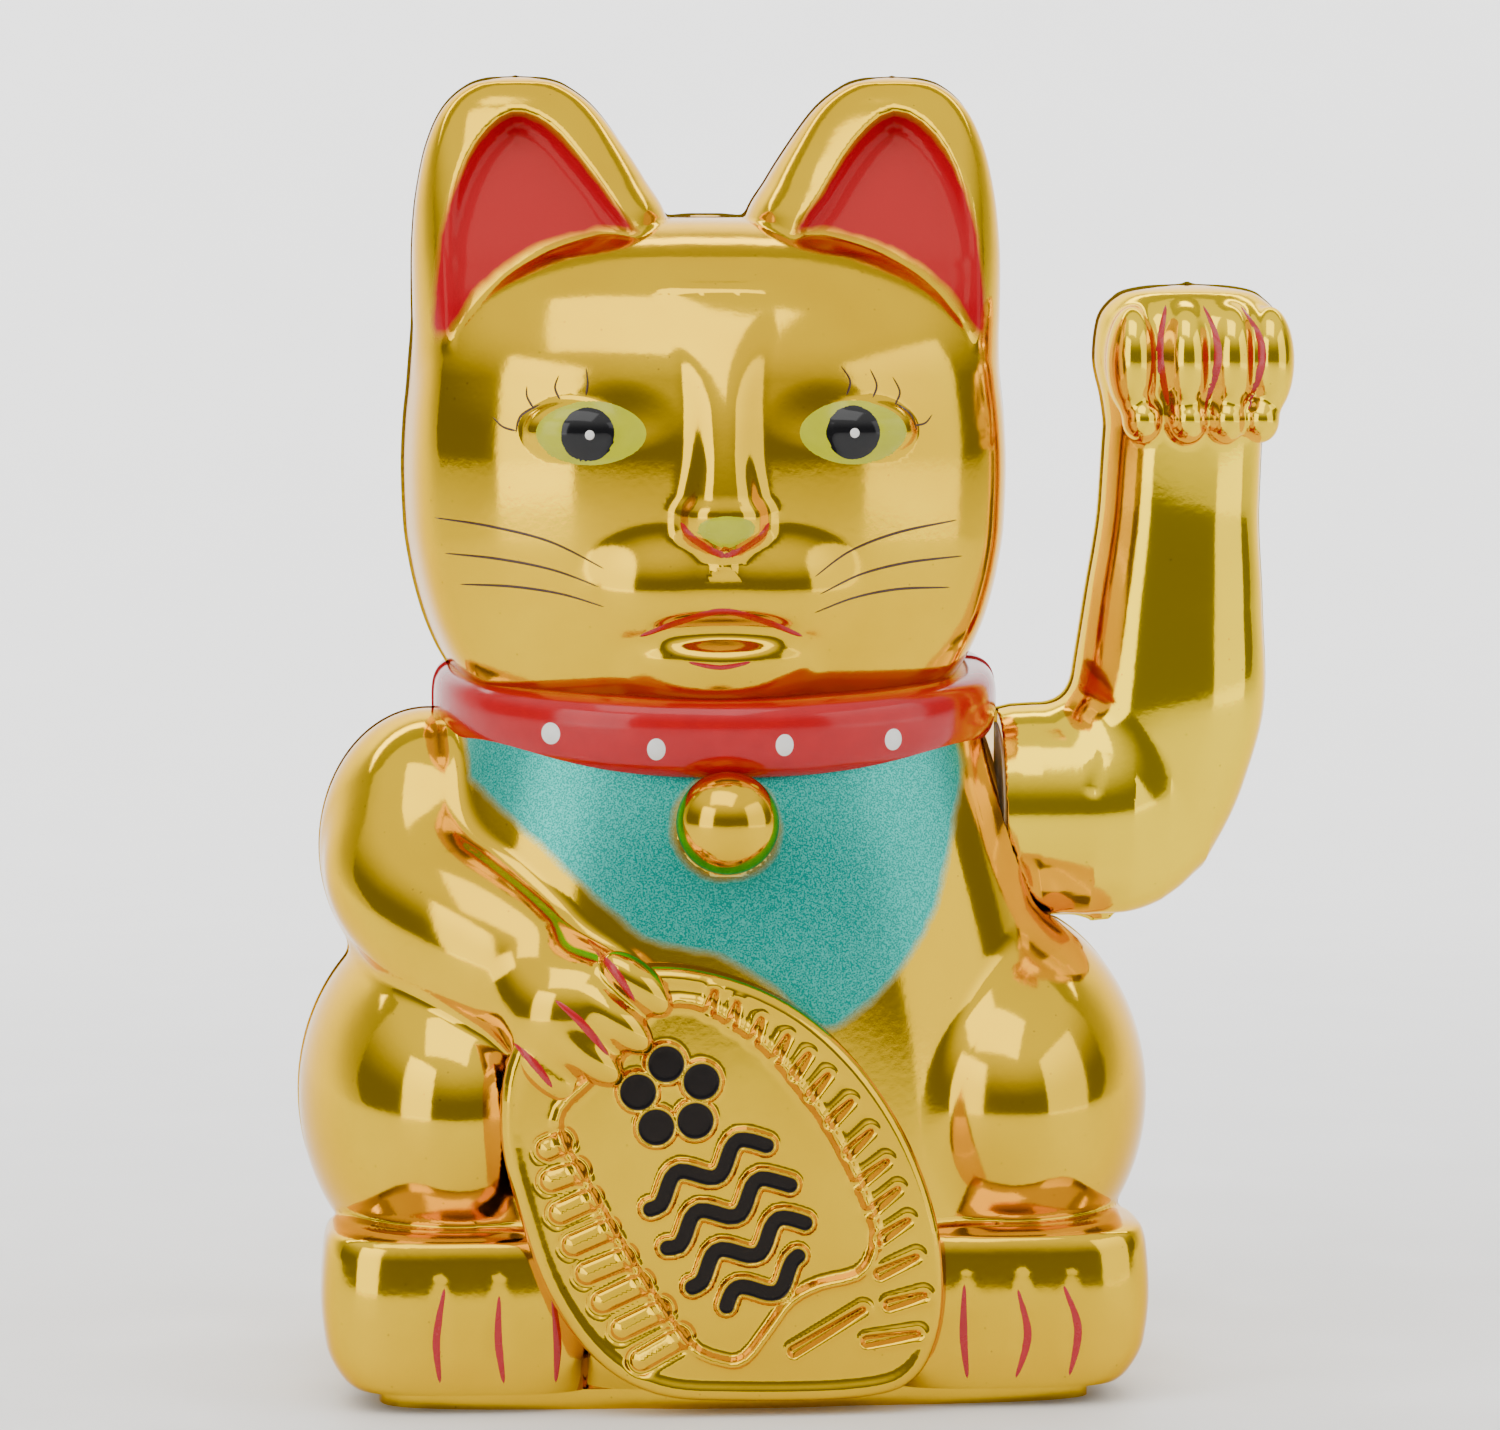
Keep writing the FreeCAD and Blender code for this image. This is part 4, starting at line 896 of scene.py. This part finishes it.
def bar_distance(x, z, points, width):
    """Distance in X and Z to a rounded bar that bends through the points, negative inside."""
    c = rounded(points, closed=False, count=2)
    return np.minimum.reduce([from_stroke(x, z, a, b)[0] for a, b in zip(c, c[1:])]) - width / 2


BLOSSOM = across_coin(-14.6, 0.6)
WAVES = []
for along, reach in ((-2.6, 9.8), (4.0, 10.2), (10.6, 9.6), (17.0, 6.4)):
    overs = np.linspace(-reach, reach, 13)
    WAVES.append([across_coin(along + 1.7 * math.sin(over * 0.62 + 0.8), over) for over in overs])


def ornament(x, z):
    """A five-petalled blossom over rolling waves, negative inside."""
    bx, bz = BLOSSOM
    best = np.full(x.shape, FAR)
    for i in range(5):
        a = math.radians(27 + 72 * i)
        px, pz = bx + 5.0 * math.cos(a), bz + 5.0 * math.sin(a)
        best = np.minimum(best, np.sqrt((x - px) ** 2 + (z - pz) ** 2) - 3.2)
    best = np.maximum(best, 1.5 - np.sqrt((x - bx) ** 2 + (z - bz) ** 2))
    for wave in WAVES:
        best = np.minimum(best, bar_distance(x, z, wave, 3.3))
    return best


# cuts beyond the panel, each from (x, z) to (x, z), and raised teeth along its lower left edge
CUTS = [
    ((-3.9, 61.3), (-3.2, 63.7)), ((-0.6, 59.4), (0.1, 61.9)), ((2.7, 57.0), (3.7, 59.6)),
    ((6.0, 54.1), (7.6, 57.0)), ((8.6, 51.4), (10.7, 54.3)), ((11.0, 48.2), (13.6, 51.2)),
    ((13.9, 44.2), (17.0, 47.2)), ((16.6, 39.6), (20.0, 42.7)),
    ((18.2, 35.1), (22.4, 38.2)), ((20.0, 30.8), (24.1, 34.0)),
    ((21.5, 26.7), (25.6, 29.3)), ((21.5, 21.4), (26.9, 23.8)), ((22.9, 16.7), (28.0, 18.0)),
    ((19.6, 11.2), (27.1, 12.2)), ((8.6, 9.9), (18.9, 16.0))]
TEETH = [
    ((-28.0, 40.6), (-25.9, 41.6)), ((-27.4, 35.9), (-23.8, 37.2)), ((-26.1, 31.1), (-21.9, 33.0)),
    ((-24.2, 26.3), (-19.4, 28.4)), ((-22.2, 22.0), (-16.8, 24.2)), ((-19.9, 17.7), (-14.3, 20.3)),
    ((-17.0, 13.6), (-11.2, 16.4)), ((-14.1, 8.9), (-8.4, 12.2))]


def ridge(d, width):
    """A rounded ridge, 1 where d is 0."""
    return np.exp(-(d / width) ** 2)


def coin_height(x, z):
    """How far the coin's face stands forward of its middle plane."""
    edge = -outline_distance(x, z, COIN)        # the rim stands up just inside the edge
    panel = outline_distance(x, z, PANEL)
    mark = ornament(x, z)
    high = 1.5 * (1 - ((x + 2.0) / 36.0) ** 2 - ((z - 34.0) / 38.0) ** 2)
    high = high + 0.55 * ridge(edge - 1.5, 1.1)
    high = high + 0.9 * ridge(panel - 0.4, 0.85)
    high = high - 0.8 * np.clip(0.5 - panel / 1.2, 0, 1)
    for start, end in CUTS:
        d, t = from_stroke(x, z, start, end)
        high = high - 0.9 * ridge(d, 0.35 + 0.45 * (1 - t)) + 0.3 * ridge(d - 1.2, 0.5)
    for start, end in TEETH:
        d, t = from_stroke(x, z, start, end)
        high = high + 1.0 * np.clip(1 - d / 1.7, 0, 1) - 0.4 * ridge(d - 2.0, 0.5)
    high = high + 0.65 * np.clip(0.5 - mark / 0.5, 0, 1) + 0.35 * ridge(mark + 0.15, 0.4)
    return high


COIN_FACE, COIN_BACK = -50.2, -44.0


def coin_field(x, y, z):
    front = COIN_FACE - coin_height(x, z) - y
    edge = outline_distance(x, z, COIN)
    return np.maximum(smax(front, edge, 1.3), y - COIN_BACK)


def coin_paint(p):
    """Distance to the edge of the black ornament."""
    x, y, z = p.T
    return {"ink": np.where(y < -46, ornament(x, z) + 0.42, 9.0)}


gold_coin = gold("gold_coin", coats=(("ink", (0.006, 0.006, 0.008), 0.22, "gloss"),))
H_COIN = 0.34
COIN_BOX = ((-37.0, -54.0, 0.5), (33.0, -43.0, 70.0))
dress(solid("coin", coin_field, *COIN_BOX, H_COIN, coin_paint), gold_coin, "housing")

# ---------------------------------------------------------------- painted lines and spots
black_paint = paint_coat("black_paint", (0.004, 0.004, 0.005), 0.1, coat=0.1)
line_paint = paint_coat("line_paint", (0.05, 0.015, 0.005), 0.3, coat=0.1)
red_paint = paint_coat("red_paint", (0.42, 0.0, 0.006), 0.25, coat=0.3)
lime_paint = paint_coat("lime_paint", (0.46, 0.47, 0.0), 0.22, coat=0.15)
white_paint = paint_coat("white_paint", (0.85, 0.84, 0.80), 0.35, coat=0.2)


def almond(a):
    """Outline of an eye at the angle a."""
    return np.stack([8.6 * np.cos(a), 4.9 * np.sin(a) * (1 - 0.06 * np.cos(a) ** 2)], 1)


eyes = Paint("eye_whites", head_field, "housing", lime_paint)
for cx in (-20.9, 18.6):
    eyes.spot(cx, 146.1, 0, 0, 0.06, almond, rings=8, around=64)
eyes.finish()
nose = Paint("nose_pad", head_field, "housing", lime_paint)


def pad(a):
    """Outline of the nose's pad at the angle a, drawn in to a point below."""
    px = 4.6 * np.cos(a)
    pz = np.where(np.sin(a) > 0, 1.9 * np.sin(a), 3.2 * np.sin(a) * (1 - 0.35 * np.abs(np.cos(a))))
    return np.stack([px, pz], 1)


nose.spot(-1.0, 132.2, 0, 0, 0.06, pad, rings=6, around=48)
nose.finish()
pupils = Paint("pupils", head_field, "housing", black_paint)
# The small white spots on the pupils are painted highlights: white paint put where the glossy pupils reflect
# the lamps.
painted_highlights = Paint("painted_highlights", head_field, "housing", white_paint)
for cx, cz in ((-21.2, 145.9), (18.3, 146.1)):
    pupils.spot(cx, cz, 4.4, 4.4, 0.35, rings=8, around=56, dome=True)
    # painted highlight: a white spot set just off each pupil's middle
    painted_highlights.spot(cx + 0.2, cz, 0.9, 0.9, 0.5, rings=3, around=20)
pupils.finish()
painted_highlights.finish()

lines = Paint("whiskers", head_field, "housing", line_paint)
for stroke in (
        [(-43.6, 132.9), (-35.7, 132.0), (-26.8, 129.9), (-18.9, 126.0)],
        [(-42.1, 127.6), (-34.3, 127.1), (-26.5, 125.7), (-19.7, 123.3)],
        [(-39.9, 123.0), (-32.4, 123.0), (-25.3, 122.1), (-18.9, 120.3)],
        [(34.9, 132.6), (25.6, 131.1), (18.1, 128.5), (12.4, 124.8)],
        [(35.9, 127.1), (27.1, 126.5), (19.6, 124.9), (13.2, 122.2)],
        [(33.9, 122.4), (25.6, 122.5), (18.1, 121.3), (12.4, 119.4)]):
    lines.line(stroke, 0.5, 0.05, thin=(0.3, 0.5))
for stroke in (
        [(-29.0, 149.6), (-30.0, 151.4), (-30.0, 153.0)], [(-25.2, 151.0), (-25.9, 152.8), (-25.3, 154.6)],
        [(-21.4, 151.6), (-21.1, 153.5), (-21.3, 155.8)], [(-31.6, 146.3), (-33.6, 146.9), (-35.1, 148.4)],
        [(17.5, 151.6), (18.1, 153.8), (16.7, 156.0)], [(21.5, 151.2), (22.2, 153.1), (21.2, 155.5)],
        [(24.9, 150.1), (25.8, 152.0), (24.7, 154.3)], [(27.9, 147.0), (29.7, 147.3), (30.9, 148.6)]):
    lines.line(stroke, 0.42, 0.05, thin=(0.1, 0.7))
for stroke in ([(-31.7, 146.0), (-30.9, 148.6), (-28.1, 150.3)],
               [(25.0, 150.4), (27.4, 148.7), (28.3, 146.3)]):
    lines.line(stroke, 0.45, 0.05)
lines.finish()
face_red = Paint("mouth_lines", head_field, "housing", red_paint)
for stroke, width, rise, thin in (
        ([(-7.6, 133.0), (-5.9, 130.6), (-1.0, 128.2), (3.9, 130.6), (5.6, 132.9)], 1.15, 0.08, 0.1),
        ([(-13.6, 115.9), (-7.7, 118.1), (-1.3, 119.7), (5.0, 118.1), (10.7, 115.8)], 1.1, 0.1, 0.2),
        ([(-6.4, 112.1), (-1.7, 111.3), (2.9, 112.1)], 0.8, 0.08, 0.35)):
    face_red.line(stroke, width, rise, thin=(thin, thin))
face_red.finish()

claws = Paint("claw_lines", body_field, "housing", red_paint)
for stroke in (
        [(-21.6, 71.0), (-18.4, 67.7), (-15.2, 62.9)], [(-26.9, 63.2), (-23.2, 60.0), (-19.0, 54.9)],
        [(-32.9, 56.4), (-29.7, 53.3), (-27.3, 50.0)],
        [(-43.2, 19.6), (-44.4, 12.0), (-43.9, 5.2)], [(-35.1, 18.4), (-35.2, 11.5), (-34.4, 5.0)],
        [(-27.1, 18.4), (-26.4, 11.2), (-26.6, 4.8)], [(34.4, 19.2), (34.3, 11.4), (35.0, 4.8)],
        [(42.4, 18.4), (43.9, 11.4), (42.3, 4.8)], [(49.3, 18.9), (51.5, 12.3), (50.4, 5.0)]):
    claws.line(stroke, 1.35, 0.1, thin=(0.45, 0.4), least=0.15)
claws.finish()
arm_claws = Paint("arm_claw_lines", arm_field, "waving_arm", red_paint)
for stroke in ([(69.1, 164.6), (68.0, 160.2), (67.8, 155.8), (69.3, 149.2)],
               [(74.8, 164.5), (76.2, 160.2), (76.4, 155.5), (74.8, 148.0)],
               [(80.8, 164.3), (82.9, 160.2), (83.2, 155.4), (81.5, 148.6)]):
    arm_claws.line(stroke, 1.3, 0.1, thin=(0.45, 0.4), least=0.15)
arm_claws.finish()
dots = Paint("collar_dots", collar_field, "housing", white_paint)
for cx, cz in ((-26.6, 101.0), (-11.2, 99.1), (7.9, 99.7), (24.8, 99.9)):
    dots.spot(cx, cz, 1.35, 1.65, 0.3, rings=5, around=28, dome=True)
dots.finish()

# ---------------------------------------------------------------- stage, lights and camera
profile = [(-3.0, 0.0), (0.6, 0.0)]
profile += [(0.6 + 0.8 * math.sin(a), 0.8 - 0.8 * math.cos(a)) for a in np.linspace(0, math.pi / 2, 25)[1:]]
profile.append((1.4, 3.5))
sweep_mesh = bpy.data.meshes.new("backdrop")
corners = [(x, y, z) for y, z in profile for x in (-3.5, 3.5)]
strips = [(2 * i, 2 * i + 1, 2 * i + 3, 2 * i + 2) for i in range(len(profile) - 1)]
sweep_mesh.from_pydata(corners, [], strips)
sweep_mesh.polygons.foreach_set("use_smooth", np.ones(len(profile) - 1, bool))
backdrop = bpy.data.objects.new("backdrop", sweep_mesh)
bpy.context.collection.objects.link(backdrop)
backdrop.data.materials.append(plain("pale_floor", (0.93, 0.93, 0.93), 0.6, scale=30.0, vary=0.01))


def softbox(name, location, target, size, power):
    """An oblong lamp turned towards a target."""
    light = bpy.data.lights.new(name, "AREA")
    light.shape = "RECTANGLE"
    light.size, light.size_y = size
    light.energy = power
    o = bpy.data.objects.new(name, light)
    bpy.context.collection.objects.link(o)
    o.location = location
    aim = np.array(target) - np.array(location)
    o.rotation_euler = Vector(aim).to_track_quat("-Z", "Y").to_euler()


softbox("left", (-0.95, -0.75, 0.35), (0, 0, 0.12), (0.7, 1.1), 7.0)
softbox("right", (0.95, -0.45, 0.3), (0, 0, 0.12), (0.9, 1.1), 5.0)
softbox("top", (-0.2, -0.5, 1.1), (0, 0, 0.1), (1.0, 0.7), 5.0)
softbox("back", (0.0, 0.9, 1.1), (0, 1.4, 0.3), (2.4, 0.6), 26.0)

world = bpy.data.worlds.new("studio")
bpy.context.scene.world = world
world.use_nodes = True
sky, sky_links = world.node_tree.nodes, world.node_tree.links
direction = sky.new("ShaderNodeTexCoord")
parts = sky.new("ShaderNodeSeparateXYZ")
ramp = sky.new("ShaderNodeMapRange")
ramp.interpolation_type = "SMOOTHSTEP"
HORIZON, ZENITH = (0.2, 0.24), (0.75, 1.35)          # (upward direction, strength)
for i, v in enumerate(zip(HORIZON, ZENITH)):
    ramp.inputs[2 * i + 1].default_value, ramp.inputs[2 * i + 2].default_value = v
sky_links.new(direction.outputs["Generated"], parts.inputs[0])
sky_links.new(parts.outputs[2], ramp.inputs[0])
sky_links.new(ramp.outputs[0], sky["Background"].inputs["Strength"])
sky["Background"].inputs[0].default_value = (1.0, 0.99, 0.97, 1)

camera = bpy.data.cameras.new("camera")
camera.sensor_width = 36.0
DISTANCE, AZ, EL = 1.0, math.radians(-4.3), math.radians(4.5)
AIM = (0.0059, 0.0, 0.1009)
VIEW_WIDTH = 233.175 * MM
camera.lens = camera.sensor_width * DISTANCE / VIEW_WIDTH
view = bpy.data.objects.new("camera", camera)
bpy.context.collection.objects.link(view)
view.location = (AIM[0] + DISTANCE * math.sin(AZ) * math.cos(EL), -DISTANCE * math.cos(AZ) * math.cos(EL),
                 AIM[2] + DISTANCE * math.sin(EL))
view.rotation_euler = (math.pi / 2 - EL, 0, AZ)
bpy.context.scene.camera = view
